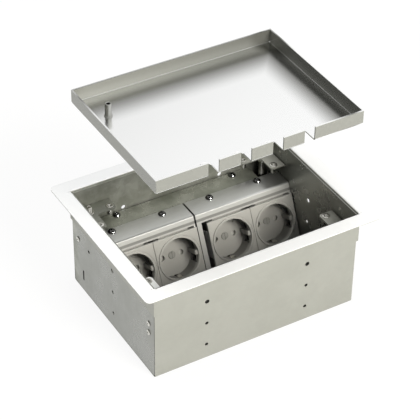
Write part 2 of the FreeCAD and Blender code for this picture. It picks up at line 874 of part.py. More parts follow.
def socket_plate():
    well = rod(well_radius + well_wall, point(0, 0, disc_low), Z, 1 - disc_low)
    body = joined([plate_cover(), plate_skirt(), well])
    body = body.cut(rod(well_radius, point(0, 0, disc_top), Z, well_depth + ring_height + 1))
    ribs = []
    for side in (-1, 1):
        near, far = sorted((side * (well_radius - guide_rib_height),
                            side * (well_radius + well_wall / 2)))
        ribs.append(block((near, -guide_rib_width / 2, disc_top),
                          (far, guide_rib_width / 2, plate_proud - guide_rib_start)))
    body = joined([body] + ribs)
    cutters = []
    slot_half = strap_width / 2 + strap_slot_margin
    for side in (-1, 1):
        cutters += [wall_window(side, end) for end in (-1, 1)]
        cutters.append(rod(pin_hole_radius, point(side * pin_spacing / 2, 0, disc_low - 1), Z,
                           disc_thickness + 2))
        near, far = sorted((side * (well_radius - strap_slot_margin),
                            side * (strap_half_span + strap_sheet + strap_slot_margin)))
        cutters.append(block((-slot_half, near, disc_low - 1),
                             (slot_half, far, disc_top + strap_reach + strap_slot_margin)))
    cutters.append(rod(centre_screw_head_radius + 0.3,
                       point(0, 0, disc_top - centre_screw_sunk), Z, 2))
    cutters.append(rod(centre_screw_radius + 0.1, point(0, 0, disc_low - 1), Z,
                       disc_thickness + 2))
    return without(body, cutters)


def earth_strap():
    # One strip behind the disc; both ends stand in the wall's slots and bulge into the well.
    bulge = strap_half_span - strap_bulge
    rise = [(strap_half_span, disc_top + strap_reach), (bulge, disc_top + strap_reach / 2),
            (strap_half_span, disc_top + 1.2), (strap_half_span, disc_low)]
    points = rise + [(-y, z) for y, z in reversed(rise)]
    strip = bent_sheet(points, strap_sheet, strap_bend,
                       lambda u, v: point(-strap_width / 2, u, v), X * strap_width)
    hole = rod(centre_screw_radius + 0.3, point(0, 0, disc_low - 2), Z, 4)
    return strip.cut(hole)


def socket_base():
    half_w = base_width / 2
    half_h = base_height / 2
    low = disc_low - base_depth
    body = block((-half_w, -half_h, low), (half_w, half_h, disc_low))
    upright = [edge for edge in body.Edges if abs(edge.Length - base_depth) < 1e-6]
    body = body.makeFillet(2.0, upright)
    pocket_half = shutter_half_height + shutter_gap
    cutters = [block((pocket_left, -pocket_half, pocket_floor),
                     (pocket_right, pocket_half, disc_low + 1))]
    strap_end = strap_half_span + strap_sheet + 0.1
    cutters.append(block((-strap_width / 2 - 0.2, -strap_end, disc_low - strap_sheet - 0.05),
                         (strap_width / 2 + 0.2, strap_end, disc_low + 1)))
    for side in (-1, 1):
        cutters.append(rod(contact_radius, point(side * pin_spacing / 2, 0, pocket_floor
                                                 - contact_length), Z, contact_length + 1))
        for step in (-1, 0, 1):
            start = point(side * terminal_pitch * 2.5, step * terminal_pitch * 2, low - 1)
            cutters.append(rod(terminal_radius, start, Z, terminal_depth + 1))
    cutters.append(rod(centre_screw_radius + 0.05,
                       point(0, 0, disc_top - centre_screw_sunk - centre_screw_length - 0.5),
                       Z, centre_screw_length + 2))
    return without(body, cutters)


def shutter():
    body = block((-shutter_half_length, -shutter_half_height, shutter_low),
                 (shutter_half_length, shutter_half_height, shutter_top))
    window_half = pin_spacing / 2 - shutter_zone
    window = block((-window_half, -shutter_window_half_height, shutter_low - 1),
                   (window_half, shutter_window_half_height, shutter_top + 1))
    body = body.cut(window)
    ramps = [edge for edge in body.Edges
             if abs(edge.CenterOfMass.z - shutter_top) < 1e-6 and abs(edge.CenterOfMass.y) < 1e-6
             and min(abs(edge.CenterOfMass.x + shutter_half_length),
                     abs(edge.CenterOfMass.x - window_half)) < 1e-3]
    return body.makeChamfer(shutter_thickness / 2, ramps)


def shutter_spring():
    # A zigzag leaf between the shutter's end and the end of its pocket.
    start = shutter_half_length + 0.3
    step = (spring_space - 0.5) / spring_folds
    points = [(start + index * step, spring_half_height * (1 if index % 2 else -1))
              for index in range(spring_folds + 1)]
    low = shutter_top - shutter_thickness / 2 - spring_width / 2
    return bent_sheet(points, spring_sheet, spring_sheet,
                      lambda u, v: point(u, v, low), Z * spring_width)


def pin_contacts():
    contacts = []
    low = pocket_floor - contact_length
    for side in (-1, 1):
        x = side * pin_spacing / 2
        sleeve = tube(contact_radius, contact_radius - contact_wall, point(x, 0, low), Z,
                      contact_length - 0.3)
        slit = block((x - contact_slit / 2, -contact_radius - 1, low + 1.5),
                     (x + contact_slit / 2, contact_radius + 1, pocket_floor + 1))
        contacts.append(sleeve.cut(slit))
    return contacts


def centre_screw():
    top = disc_top - centre_screw_sunk + centre_screw_head
    head = rod(centre_screw_head_radius, point(0, 0, top - centre_screw_head), Z,
               centre_screw_head)
    rim = [edge for edge in head.Edges if edge.CenterOfMass.z > top - 1e-6]
    head = head.makeFillet(0.35, rim)
    shank = rod(centre_screw_radius, point(0, 0, top - centre_screw_head - centre_screw_length), Z,
                centre_screw_length + centre_screw_head / 2)
    slot = block((-0.4, -centre_screw_head_radius - 1, top - 0.6),
                 (0.4, centre_screw_head_radius + 1, top + 1))
    return joined([head, shank]).cut(slot)


# Lid

def lid_tray():
    half_w = lid_width / 2
    half_d = lid_depth / 2

    def pan(inset, radius, top):
        body = block((-half_w + inset, -half_d + inset, inset),
                     (half_w - inset, half_d - inset, top))
        low_edges = [edge for edge in body.Edges if edge.CenterOfMass.z < inset + 1e-6]
        return body.makeFillet(radius, low_edges)

    tray = pan(0, lid_bend + lid_sheet, lid_height)
    tray = tray.cut(pan(lid_sheet, lid_bend, lid_height + 1))
    cutters = []
    for index in range(lid_slot_count):
        x = (index - (lid_slot_count - 1) / 2) * lid_slot_pitch
        half_slot = lid_slot_width / 2
        end_y = -half_d + lid_slot_reach - half_slot
        cutters.append(block((x - half_slot, -half_d - 1, -1),
                             (x + half_slot, end_y, lid_height + 1)))
        cutters.append(rod(half_slot, point(x, end_y, -1), Z, lid_sheet + 2))
    for side, end in signs():
        near_x, far_x = sorted((side * (half_w - lid_corner_relief), side * (half_w + 1)))
        near_y, far_y = sorted((end * (half_d - lid_corner_relief), end * (half_d + 1)))
        cutters.append(block((near_x, near_y, -1), (far_x, far_y, lid_corner_relief)))
    sleeve_x, sleeve_y = sleeve_place()
    cutters.append(rod(sleeve_bore_radius, point(sleeve_x, sleeve_y, -1), Z, lid_sheet + 2))
    tray = without(tray, cutters)
    tray.translate(point(lid_offset_x, lid_offset_y, lid_raised_z))
    return tray


def sleeve_place():
    return -lid_width / 2 + sleeve_from_left, lid_depth / 2 - sleeve_from_back


def lift_sleeve():
    x, y = sleeve_place()
    sleeve = tube(sleeve_radius, sleeve_bore_radius, point(x, y, lid_sheet), Z,
                  lid_height - lid_sheet)
    sleeve.translate(point(lid_offset_x, lid_offset_y, lid_raised_z))
    return sleeve


# Earth stud on the floor, with its nuts and washer

def earth_stud():
    foot = rod(stud_foot_radius, point(stud_x, stud_y, tub_sheet), Z, stud_foot)
    return joined([foot, rod(stud_radius, point(stud_x, stud_y, tub_sheet), Z, stud_length)])


def earth_stud_nuts():
    base = tub_sheet + stud_foot
    bore_radius = stud_radius + stud_thread_fit
    washer = tube(stud_washer_radius, bore_radius, point(stud_x, stud_y, base), Z, stud_washer)
    nuts = [washer]
    for index in range(2):
        start = point(stud_x, stud_y, base + stud_washer + index * stud_nut_height)
        nut = hex_prism(stud_nut_flats, stud_nut_height, start)
        nuts.append(nut.cut(rod(bore_radius, start - Z, Z, stud_nut_height + 2)))
    return nuts


# Export

def save(name, shapes):
    shape = shapes if isinstance(shapes, Part.Shape) else Part.makeCompound(shapes)
    solids = len(shape.Solids)
    print(name, "solids", solids, "valid", shape.isValid(), "volume", round(shape.Volume, 2))
    shape.exportStep(os.path.join("parts", name + ".step"))


def main():
    os.makedirs("parts", exist_ok=True)
    save("trim_frame", trim_frame())
    save("frame_rivets", frame_rivets())
    save("box_trough", box_trough())
    save("side_plate_left", side_plate(-1))
    save("side_plate_right", side_plate(1))
    save("cable_grommets", [grommet(start) for start in cable_entry_places()])
    for side, end in signs():
        save("corner_gusset_" + corner_name(side, end), corner_gusset(side, end))
        save("levelling_screw_" + corner_name(side, end), levelling_screw(side, end))
    save("gusset_rivets", gusset_rivets())
    save("gusset_rivet_nuts", rivet_nuts())
    save("rear_rail", rear_rail())
    save("rail_brackets", rail_brackets())
    save("rail_bracket_rivets", rail_bracket_rivets())
    save("rail_screws", rail_screws())
    save("front_rail", front_rail())
    save("front_rail_rivets", front_rail_rivets())
    for name, (left, right) in zip(("left", "right"), carrier_spans()):
        save("socket_carrier_" + name, socket_carrier(left, right))
    save("carrier_screws", carrier_screws())
    for number, x in enumerate(socket_xs(), start=1):
        save("socket_plate_%d" % number, seated(socket_plate(), x))
        save("earth_strap_%d" % number, seated(earth_strap(), x))
        save("socket_base_%d" % number, seated(socket_base(), x))
        save("shutter_%d" % number, seated(shutter(), x))
        save("shutter_spring_%d" % number, seated(shutter_spring(), x))
        save("pin_contacts_%d" % number, [seated(piece, x) for piece in pin_contacts()])
    save("centre_screws", [seated(centre_screw(), x) for x in socket_xs()])
    save("earth_stud", earth_stud())
    save("earth_stud_nuts", earth_stud_nuts())
    save("lid_tray", lid_tray())
    save("lift_sleeve", lift_sleeve())


main()
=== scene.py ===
import json
import math
import bmesh
import bpy
import numpy as np
from mathutils import Matrix, Vector

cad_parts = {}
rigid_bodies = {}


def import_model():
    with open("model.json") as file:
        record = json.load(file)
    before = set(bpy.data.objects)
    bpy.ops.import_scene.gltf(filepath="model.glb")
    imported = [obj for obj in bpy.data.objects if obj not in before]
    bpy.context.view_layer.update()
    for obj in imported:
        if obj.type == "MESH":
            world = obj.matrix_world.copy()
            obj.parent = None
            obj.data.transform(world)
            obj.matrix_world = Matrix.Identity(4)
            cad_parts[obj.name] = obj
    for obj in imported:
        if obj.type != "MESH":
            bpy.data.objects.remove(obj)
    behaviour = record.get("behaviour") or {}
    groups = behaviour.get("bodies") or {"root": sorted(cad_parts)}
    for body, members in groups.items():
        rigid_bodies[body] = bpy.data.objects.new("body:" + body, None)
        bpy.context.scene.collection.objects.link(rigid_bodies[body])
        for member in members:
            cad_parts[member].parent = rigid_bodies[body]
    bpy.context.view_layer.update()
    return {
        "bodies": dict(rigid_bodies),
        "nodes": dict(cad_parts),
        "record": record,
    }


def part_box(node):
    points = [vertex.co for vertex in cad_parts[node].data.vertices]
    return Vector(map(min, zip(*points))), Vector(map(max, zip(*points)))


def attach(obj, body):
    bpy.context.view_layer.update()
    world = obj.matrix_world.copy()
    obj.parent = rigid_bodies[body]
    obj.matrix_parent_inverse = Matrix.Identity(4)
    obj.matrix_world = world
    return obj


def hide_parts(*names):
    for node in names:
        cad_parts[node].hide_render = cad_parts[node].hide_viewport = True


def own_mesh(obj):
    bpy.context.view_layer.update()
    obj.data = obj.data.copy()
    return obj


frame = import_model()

nodes = frame["nodes"]
scene = bpy.context.scene

# places read from the CAD nodes, in metres

perMetre = 1000  # millimetres
mm = 1 / perMetre
faceTilt = math.radians(25.0)  # the socket faces lean back from the vertical
faceOut = np.array((0.0, -math.cos(faceTilt), math.sin(faceTilt)))
faceRise = np.array((0.0, math.sin(faceTilt), math.cos(faceTilt)))


def nodePoints(node):
    mesh = nodes[node].data
    points = np.empty(len(mesh.vertices) * 3, dtype=np.float32)
    mesh.vertices.foreach_get("co", points)
    return points.reshape(-1, 3).astype(float)


def reachOut(node):
    return float((nodePoints(node) @ faceOut).max())


plateTop = float((nodePoints("socket_plate_1") @ faceRise).max())
plateFront = reachOut("socket_plate_1")
lidLow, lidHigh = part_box("lid_tray")
troughLow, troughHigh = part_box("box_trough")
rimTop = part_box("trim_frame")[1].z
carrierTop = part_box("socket_carrier_left")[1].z
carrierGap = (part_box("socket_carrier_left")[1].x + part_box("socket_carrier_right")[0].x) / 2

# camera, where the photograph was taken from

cameraFit = {
    "place": (-0.60724, -1.00214, 1.00675),  # metres
    "right": (0.86097, -0.50845, 0.01423),
    "up": (0.30622, 0.54046, 0.78367),
    "sensor": 36.0,  # millimetres
    "lens": 146.67,  # millimetres
    "shiftX": -0.0082,
    "shiftY": 0.0281,
    "clip": (0.05, 20.0),
}


def makeCamera(fit):
    data = bpy.data.cameras.new("camera")
    data.sensor_width = fit["sensor"]
    data.lens = fit["lens"]
    data.shift_x = fit["shiftX"]
    data.shift_y = fit["shiftY"]
    data.clip_start, data.clip_end = fit["clip"]
    right = Vector(fit["right"]).normalized()
    up = Vector(fit["up"]).normalized()
    turn = Matrix((right, up, right.cross(up))).transposed().to_4x4()
    camera = bpy.data.objects.new("camera", data)
    camera.matrix_world = Matrix.Translation(fit["place"]) @ turn
    scene.collection.objects.link(camera)
    scene.camera = camera


makeCamera(cameraFit)
scene.view_settings.view_transform = "Standard"
print("camera set")

# node trees


def isSocket(value):
    return isinstance(value, bpy.types.NodeSocket)


def opaque(colour):
    return colour if isSocket(colour) else (*colour[:3], 1.0)


def darker(colour, share):
    return tuple(part * share for part in colour)


class Tree:
    # a node tree with one call for each node

    def __init__(self, tree):
        self.tree = tree

    def add(self, kind, inputs=None, **settings):
        node = self.tree.nodes.new(kind)
        for key, value in settings.items():
            setattr(node, key, value)
        for key, value in (inputs or {}).items():
            self.feed(node.inputs[key], value)
        return node

    def feed(self, socket, value):
        if isSocket(value):
            self.tree.links.new(value, socket)
        else:
            socket.default_value = value

    def mathNode(self, operation, a, b=0.0):
        return self.add("ShaderNodeMath", {0: a, 1: b}, operation=operation).outputs[0]

    def times(self, a, b):
        return self.mathNode("MULTIPLY", a, b)

    def sides(self, place):
        return self.add("ShaderNodeSeparateXYZ", {0: place}).outputs

    def along(self, place, way):
        numbers = {0: place, 1: tuple(way)}
        return self.add("ShaderNodeVectorMath", numbers, operation="DOT_PRODUCT").outputs["Value"]

    def ramp(self, value, low, high, outLow=0.0, outHigh=1.0):
        numbers = {"Value": value, "From Min": low, "From Max": high,
                   "To Min": outLow, "To Max": outHigh}
        return self.add("ShaderNodeMapRange", numbers, interpolation_type="SMOOTHSTEP").outputs[0]

    def between(self, value, low, high, soft):
        return self.times(self.ramp(value, low - soft, low + soft),
                          self.ramp(value, high - soft, high + soft, 1.0, 0.0))

    def mixColours(self, factor, a, b):
        node = self.add("ShaderNodeMix", data_type="RGBA")
        for index, value in ((0, factor), (6, opaque(a)), (7, opaque(b))):
            self.feed(node.inputs[index], value)
        return node.outputs[2]


def makeGroup(name, inputs, outputs, build):
    group = bpy.data.node_groups.new(name, "ShaderNodeTree")
    for socketName, kind, value in inputs:
        socket = group.interface.new_socket(socketName, in_out="INPUT", socket_type=kind)
        if value is not None:
            socket.default_value = value
    for socketName, kind in outputs:
        group.interface.new_socket(socketName, in_out="OUTPUT", socket_type=kind)
    tree = Tree(group)
    source = tree.add("NodeGroupInput")
    sink = tree.add("NodeGroupOutput")
    build(tree, source.outputs, sink.inputs)
    return group


def buildGrain(tree, given, out):
    # fine parallel scratches: noise stretched along the rolling direction
    stretched = tree.add("ShaderNodeVectorMath", {0: given["Vector"], 1: given["Stretch"]},
                         operation="MULTIPLY").outputs[0]
    noise = tree.add("ShaderNodeTexNoise", {"Vector": stretched, "Scale": 1.0, "Detail": 4.0,
                                            "Roughness": 0.65})
    tree.feed(out["Value"], tree.ramp(noise.outputs[0], 0.3, 0.7))


def buildMottle(tree, given, out):
    # zinc flowers: cells of even tone, softened by noise, with larger cloudy patches
    warp = tree.add("ShaderNodeTexNoise", {"Vector": given["Vector"], "Scale": 90.0,
                                           "Detail": 2.0})
    pull = tree.add("ShaderNodeVectorMath", {0: warp.outputs[1], 3: 0.006}, operation="SCALE")
    moved = tree.add("ShaderNodeVectorMath", {0: given["Vector"], 1: pull.outputs[0]},
                     operation="ADD").outputs[0]
    cells = tree.add("ShaderNodeTexVoronoi", {"Vector": moved, "Scale": given["Cells"]})
    tone = tree.add("ShaderNodeSeparateColor", {0: cells.outputs[1]}).outputs[0]
    clouds = tree.add("ShaderNodeTexNoise", {"Vector": given["Vector"], "Scale": given["Clouds"],
                                             "Detail": 5.0, "Roughness": 0.6})
    tree.feed(out["Cells"], tone)
    tree.feed(out["Clouds"], tree.ramp(clouds.outputs[0], 0.32, 0.68))


def buildDust(tree, given, out):
    # specks: small bright spots where a fine noise peaks
    fine = tree.add("ShaderNodeTexNoise", {"Vector": given["Vector"], "Scale": given["Scale"],
                                           "Detail": 2.0})
    tree.feed(out["Value"], tree.ramp(fine.outputs[0], 0.62, 0.72))


def buildBand(tree, given, out):
    # 1 between the two heights and 0 outside, with a soft step at each
    height = tree.sides(given["Vector"])[2]
    soft = given["Soft"]
    over = tree.mathNode("DIVIDE", tree.mathNode("SUBTRACT", height, given["Low"]), soft)
    under = tree.mathNode("DIVIDE", tree.mathNode("SUBTRACT", given["High"], height), soft)
    tree.feed(out["Value"], tree.times(tree.ramp(over, -0.5, 0.5), tree.ramp(under, -0.5, 0.5)))


vectorIn = ("Vector", "NodeSocketVector", None)
valueOut = ("Value", "NodeSocketFloat")
grainGroup = makeGroup("rollingGrain", [vectorIn, ("Stretch", "NodeSocketVector", (30, 900, 900))],
                       [valueOut], buildGrain)
mottleGroup = makeGroup("zincMottle", [vectorIn, ("Cells", "NodeSocketFloat", 160.0),
                                       ("Clouds", "NodeSocketFloat", 28.0)],
                        [("Cells", "NodeSocketFloat"), ("Clouds", "NodeSocketFloat")], buildMottle)
dustGroup = makeGroup("dustSpecks", [vectorIn, ("Scale", "NodeSocketFloat", 900.0)],
                      [valueOut], buildDust)
bandGroup = makeGroup("heightBand", [vectorIn, ("Low", "NodeSocketFloat", 0.0),
                                     ("High", "NodeSocketFloat", 1.0),
                                     ("Soft", "NodeSocketFloat", 0.001)], [valueOut], buildBand)
print("node groups built")

# materials


def startMaterial(name):
    material = bpy.data.materials.new(name)
    material.use_nodes = True
    material.node_tree.nodes.clear()
    tree = Tree(material.node_tree)
    place = tree.add("ShaderNodeTexCoord").outputs["Object"]
    return material, tree, place


def closeMaterial(tree, surface):
    tree.add("ShaderNodeOutputMaterial", {"Surface": surface})


def useGroup(tree, group, place, **values):
    return tree.add("ShaderNodeGroup", {"Vector": place, **values}, node_tree=group).outputs


sheetMarks = {"cellDark": 0.6, "grainDark": 0.7, "bumpStrength": 0.5, "bumpDepth": 0.0001}


def sheetMetal(name, finish):
    # a rolled or zinc-coated sheet: tone, gloss and a shallow relief follow the same marks
    material, tree, place = startMaterial(name)
    grain = useGroup(tree, grainGroup, place, Stretch=finish["stretch"])["Value"]
    marks = useGroup(tree, mottleGroup, place, Cells=finish["cells"], Clouds=finish["clouds"])
    colour = finish["colour"]
    patchy = tree.mixColours(tree.times(marks["Clouds"], finish["cloudShare"]), colour,
                             finish["cloudColour"])
    celled = tree.mixColours(tree.times(marks["Cells"], finish["cellShare"]), patchy,
                             darker(colour, sheetMarks["cellDark"]))
    lined = tree.mixColours(tree.times(grain, finish["grainShare"]), celled,
                            darker(colour, sheetMarks["grainDark"]))
    gloss = tree.ramp(marks["Clouds"], 0.0, 1.0, finish["roughness"] - finish["roughSpread"],
                      finish["roughness"] + finish["roughSpread"])
    height = tree.mathNode("ADD", tree.times(grain, finish["grainRelief"]),
                           tree.times(marks["Cells"], finish["cellRelief"]))
    relief = tree.add("ShaderNodeBump", {"Height": height, "Strength": sheetMarks["bumpStrength"],
                                         "Distance": sheetMarks["bumpDepth"]})
    # stains, then painted light and shade on the lid's walls
    toned = withEffects(tree, place, finish, lined, {"stain": stained, "walls": tonedWalls})
    inputs = {"Base Color": toned, "Metallic": finish["metallic"], "Roughness": gloss,
              "Normal": relief.outputs[0]}
    # painted light on the bands that the finish names
    if "bands" in finish:
        inputs.update(paleBands(tree, place, finish, toned))
    # painted shadow and shade laid over the colour: above the plates, in the carriers' gap and
    # inside the box
    inputs["Base Color"] = withEffects(tree, place, finish, inputs["Base Color"], {
        "groove": grooved, "darkEdge": darkEdged, "darkInside": darkInside})
    shader = tree.add("ShaderNodeBsdfPrincipled", inputs)
    closeMaterial(tree, shader.outputs[0])
    return material


def withEffects(tree, place, finish, colour, effects):
    # each effect that the finish names is laid over the one before
    for name, effect in effects.items():
        if name in finish:
            colour = effect(tree, place, finish[name], colour)
    return colour


def stained(tree, place, stain, plain):
    # the far side of the box, past the named depth, is blotched by the zinc bath
    marks = useGroup(tree, mottleGroup, place, Cells=stain["cells"], Clouds=stain["clouds"])
    share = tree.ramp(tree.sides(place)[1], *stain["depths"], 0.0, stain["share"])
    blotch = tree.mixColours(tree.times(marks["Cells"], stain["cellShare"]), stain["pale"],
                             stain["dark"])
    blotched = tree.mixColours(marks["Clouds"], blotch, stain["dark"])
    return tree.mixColours(share, plain, blotched)


def tonedWalls(tree, place, walls, plain):
    # painted light and shade: the lid's back wall is painted paler towards the left, as a painted
    # reflection of the floor, and the outside of its left wall is painted darker, as it faces away
    # from the light
    sides = tree.sides(place)
    atBack = tree.ramp(sides[1], *walls["backStep"])
    leftwards = tree.add("ShaderNodeMapRange", {
        "Value": sides[0], "From Min": lidLow.x, "From Max": lidHigh.x,
        "To Min": walls["backShare"], "To Max": 0.0}).outputs[0]
    paler = tree.mixColours(tree.times(atBack, leftwards), plain, walls["backTone"])
    atLeft = tree.ramp(sides[0], *walls["leftStep"], 1.0, 0.0)
    return tree.mixColours(atLeft, paler, walls["leftTone"])


def paleBands(tree, place, finish, plain):
    # painted light: the faces between the named heights are painted paler than the rest of the
    # sheet, as faces turned to the light, and have their own gloss
    bands = finish["bands"]
    masks = [useGroup(tree, bandGroup, place, Low=low, High=high, Soft=bands["soft"])["Value"]
             for low, high in bands["heights"]]
    mask = masks[0]
    for other in masks[1:]:
        mask = tree.mathNode("MAXIMUM", mask, other)
    pale = bands["colour"]
    if "shade" in bands:
        pale = shadedByWalls(tree, place, bands["shade"], pale)
    return {"Base Color": tree.mixColours(mask, plain, pale),
            "Metallic": tree.ramp(mask, 0.0, 1.0, finish["metallic"], bands["metallic"]),
            "Roughness": tree.ramp(mask, 0.0, 1.0, finish["roughness"], bands["roughness"])}


def shadedByWalls(tree, place, shade, pale):
    # painted shade: the ground floor of the lid is painted darker towards the right and back
    # walls, standing in for their blurred reflection, and clears again right by the walls, where
    # the walls mirror in it
    sides = tree.sides(place)
    shares = []
    for axis, wall in enumerate((shade["right"], shade["back"])):
        darkest = wall["darkest"]
        duller = tree.ramp(sides[axis], darkest - wall["reach"], darkest, 0.0, shade["share"])
        clearer = tree.ramp(sides[axis], darkest - shade["clearing"][0],
                            darkest + shade["clearing"][1], 1.0, wall["left"])
        shares.append(tree.times(duller, clearer))
    return tree.mixColours(tree.mathNode("MAXIMUM", *shares), pale, shade["colour"])


def grooved(tree, place, groove, plain):
    # painted shadow: a band over the gap above the plates, and the face just over it, is painted
    # darker than the face round it
    mask = tree.between(tree.along(place, faceRise), *groove["span"], groove["soft"])
    return tree.mixColours(tree.times(mask, groove["share"]), plain, groove["colour"])


def darkEdged(tree, place, edge, plain):
    # painted shade: the sheared edges that face each other across the gap are painted nearly
    # black, as the shade in the gap
    across = tree.sides(place)[0]
    off = tree.mathNode("ABSOLUTE", tree.mathNode("SUBTRACT", across, edge["gap"]))
    share = tree.ramp(off, *edge["step"], edge["share"], 0.0)
    return tree.mixColours(share, plain, edge["colour"])


def darkInside(tree, place, dark, plain):
    # painted shade: the bores in the front wall, and all that lies behind it down by the floor,
    # are painted nearly black, which takes in the foot of the back wall on both of its faces
    sides = tree.sides(place)
    depth = tree.mathNode("SUBTRACT", sides[1], dark["front"])
    bores = tree.between(depth, *dark["bores"], dark["soft"])
    floor = tree.times(tree.ramp(depth, *dark["behind"]),
                       tree.ramp(sides[2], *dark["floorStep"], 1.0, 0.0))
    share = tree.times(tree.mathNode("MAXIMUM", bores, floor),
                       tree.ramp(sides[2], *dark["underside"]))
    return tree.mixColours(tree.times(share, dark["share"]), plain, dark["colour"])


def wellShaded(tree, place, well, plain):
    # painted shade: the walls and ribs of the wells are painted darker than their rings and discs,
    # as they lie in shade
    depth = tree.mathNode("SUBTRACT", well["front"], tree.along(place, faceOut))
    walls = tree.ramp(depth, *well["lipStep"], 0.0, well["share"])
    above = tree.ramp(depth, *well["discStep"], 1.0, 0.0)
    return tree.mixColours(tree.times(walls, above), plain, well["colour"])


mouldMarks = {"toneDark": 0.72, "dustColour": (0.6, 0.58, 0.54), "roughSpread": 0.05,
              "bumpDepth": 0.0001}


def moulded(name, finish):
    # moulded plastic or rubber: a faint grain in tone and surface, with a little dust
    material, tree, place = startMaterial(name)
    noise = tree.add("ShaderNodeTexNoise", {"Vector": place, "Scale": finish["grainScale"],
                                            "Detail": 3.0}).outputs[0]
    dust = useGroup(tree, dustGroup, place, Scale=finish["dustScale"])["Value"]
    toned = tree.mixColours(tree.times(noise, finish["toneShare"]), finish["colour"],
                            darker(finish["colour"], mouldMarks["toneDark"]))
    dusty = tree.mixColours(tree.times(dust, finish["dustShare"]), toned,
                            mouldMarks["dustColour"])
    colour = withEffects(tree, place, finish, dusty, {"well": wellShaded})
    gloss = tree.ramp(noise, 0.3, 0.7, finish["roughness"] - mouldMarks["roughSpread"],
                      finish["roughness"] + mouldMarks["roughSpread"])
    relief = tree.add("ShaderNodeBump", {"Height": noise, "Strength": finish["relief"],
                                         "Distance": mouldMarks["bumpDepth"]})
    shader = tree.add("ShaderNodeBsdfPrincipled", {
        "Base Color": colour, "Roughness": gloss, "Normal": relief.outputs[0],
        "IOR": finish["ior"]})
    closeMaterial(tree, shader.outputs[0])
    return material


galvanised = {"colour": (0.38, 0.382, 0.345), "cloudColour": (0.35, 0.355, 0.315),
              "metallic": 0.6, "roughness": 0.42, "roughSpread": 0.04,
              "stretch": (60, 500, 500), "cells": 170.0, "clouds": 30.0, "cloudShare": 0.5,
              "cellShare": 0.06, "grainShare": 0.04, "grainRelief": 0.10, "cellRelief": 0.12,
              "stain": {"depths": (troughHigh.y - 0.01475, troughHigh.y - 0.00475),
                        "share": 0.85, "cells": 140.0, "clouds": 46.0, "cellShare": 0.45,
                        "pale": (0.42, 0.425, 0.385), "dark": (0.22, 0.23, 0.19)}}
troughZinc = {**galvanised,
              # painted shade in the bores and down inside the box
              "darkInside": {"front": troughLow.y, "bores": (0.0003, 0.0018), "soft": 0.0001,
                             "behind": (0.0002, 0.0004), "floorStep": (0.010, 0.016),
                             "underside": (0.0008, 0.0011), "share": 0.9,
                             "colour": (0.03, 0.03, 0.028)}}
# painted shade and light: the back left gusset is painted darker, as in shade, and the front left
# one paler, as lit, though all four are the same sheet
dullGusset = {**galvanised, "colour": (0.20, 0.205, 0.18), "cloudColour": (0.16, 0.165, 0.14)}
paleGusset = {**galvanised, "colour": (0.80, 0.81, 0.80), "cloudColour": (0.74, 0.75, 0.73),
              "metallic": 0.3}
weathered = {**galvanised, "colour": (0.46, 0.47, 0.42), "cloudColour": (0.26, 0.275, 0.225),
             "metallic": 0.7, "roughness": 0.34, "roughSpread": 0.12, "cells": 120.0,
             "clouds": 46.0, "cloudShare": 0.9, "cellShare": 0.25, "cellRelief": 0.3}
turnedSleeve = {**galvanised, "colour": (0.55, 0.55, 0.53), "metallic": 1.0, "roughness": 0.14}
sideZinc = {**galvanised, "colour": (0.325, 0.33, 0.305), "cloudColour": (0.29, 0.295, 0.265),
            "metallic": 0.88, "roughness": 0.30, "stretch": (900, 900, 40), "grainShare": 0.16,
            "grainRelief": 0.25}
dullZinc = {**galvanised, "colour": (0.43, 0.425, 0.40), "metallic": 0.3, "roughness": 0.5,
            "cells": 900.0, "clouds": 150.0}
# painted light: the rim's top faces are painted near white, as lit from above, with their own
# gloss
paleRim = {**galvanised,
           "bands": {"heights": ((rimTop - 0.0006, rimTop + 0.01),), "soft": 0.0006,
                     "colour": (0.84, 0.85, 0.86), "metallic": 0.3, "roughness": 0.5}}
# painted shade on the lid's floor by its right and back walls
lidFloorShade = {"right": {"darkest": lidHigh.x - 0.009, "reach": 0.026, "left": 0.0},
                 "back": {"darkest": lidHigh.y - 0.014, "reach": 0.032, "left": 0.55},
                 "clearing": (0.002, 0.009), "share": 0.95, "colour": (0.225, 0.225, 0.21)}
satinLid = {"colour": (0.34, 0.342, 0.312), "cloudColour": (0.32, 0.325, 0.29),
            "metallic": 0.72, "roughness": 0.27, "roughSpread": 0.02,
            "stretch": (25, 1400, 1400), "cells": 300.0, "clouds": 18.0, "cloudShare": 0.3,
            "cellShare": 0.0, "grainShare": 0.05, "grainRelief": 0.10, "cellRelief": 0.0,
            # painted light and shade on the lid's walls
            "walls": {"backStep": (lidHigh.y - 0.003, lidHigh.y - 0.0014), "backShare": 0.9,
                      "backTone": (0.63, 0.635, 0.58),
                      "leftStep": (lidLow.x + 0.0003, lidLow.x + 0.0008),
                      "leftTone": (0.285, 0.288, 0.265)},
            # painted light: the lid's floor and top edge are painted near white and mirror-like
            # while the walls stay darker, though all is one sheet
            "bands": {"heights": ((lidLow.z - 0.0031, lidLow.z + 0.0015),
                                  (lidHigh.z - 0.0003, lidHigh.z + 0.0131)), "soft": 0.0006,
                      "colour": (0.97, 0.975, 0.97), "metallic": 1.0, "roughness": 0.21,
                      "shade": lidFloorShade}}
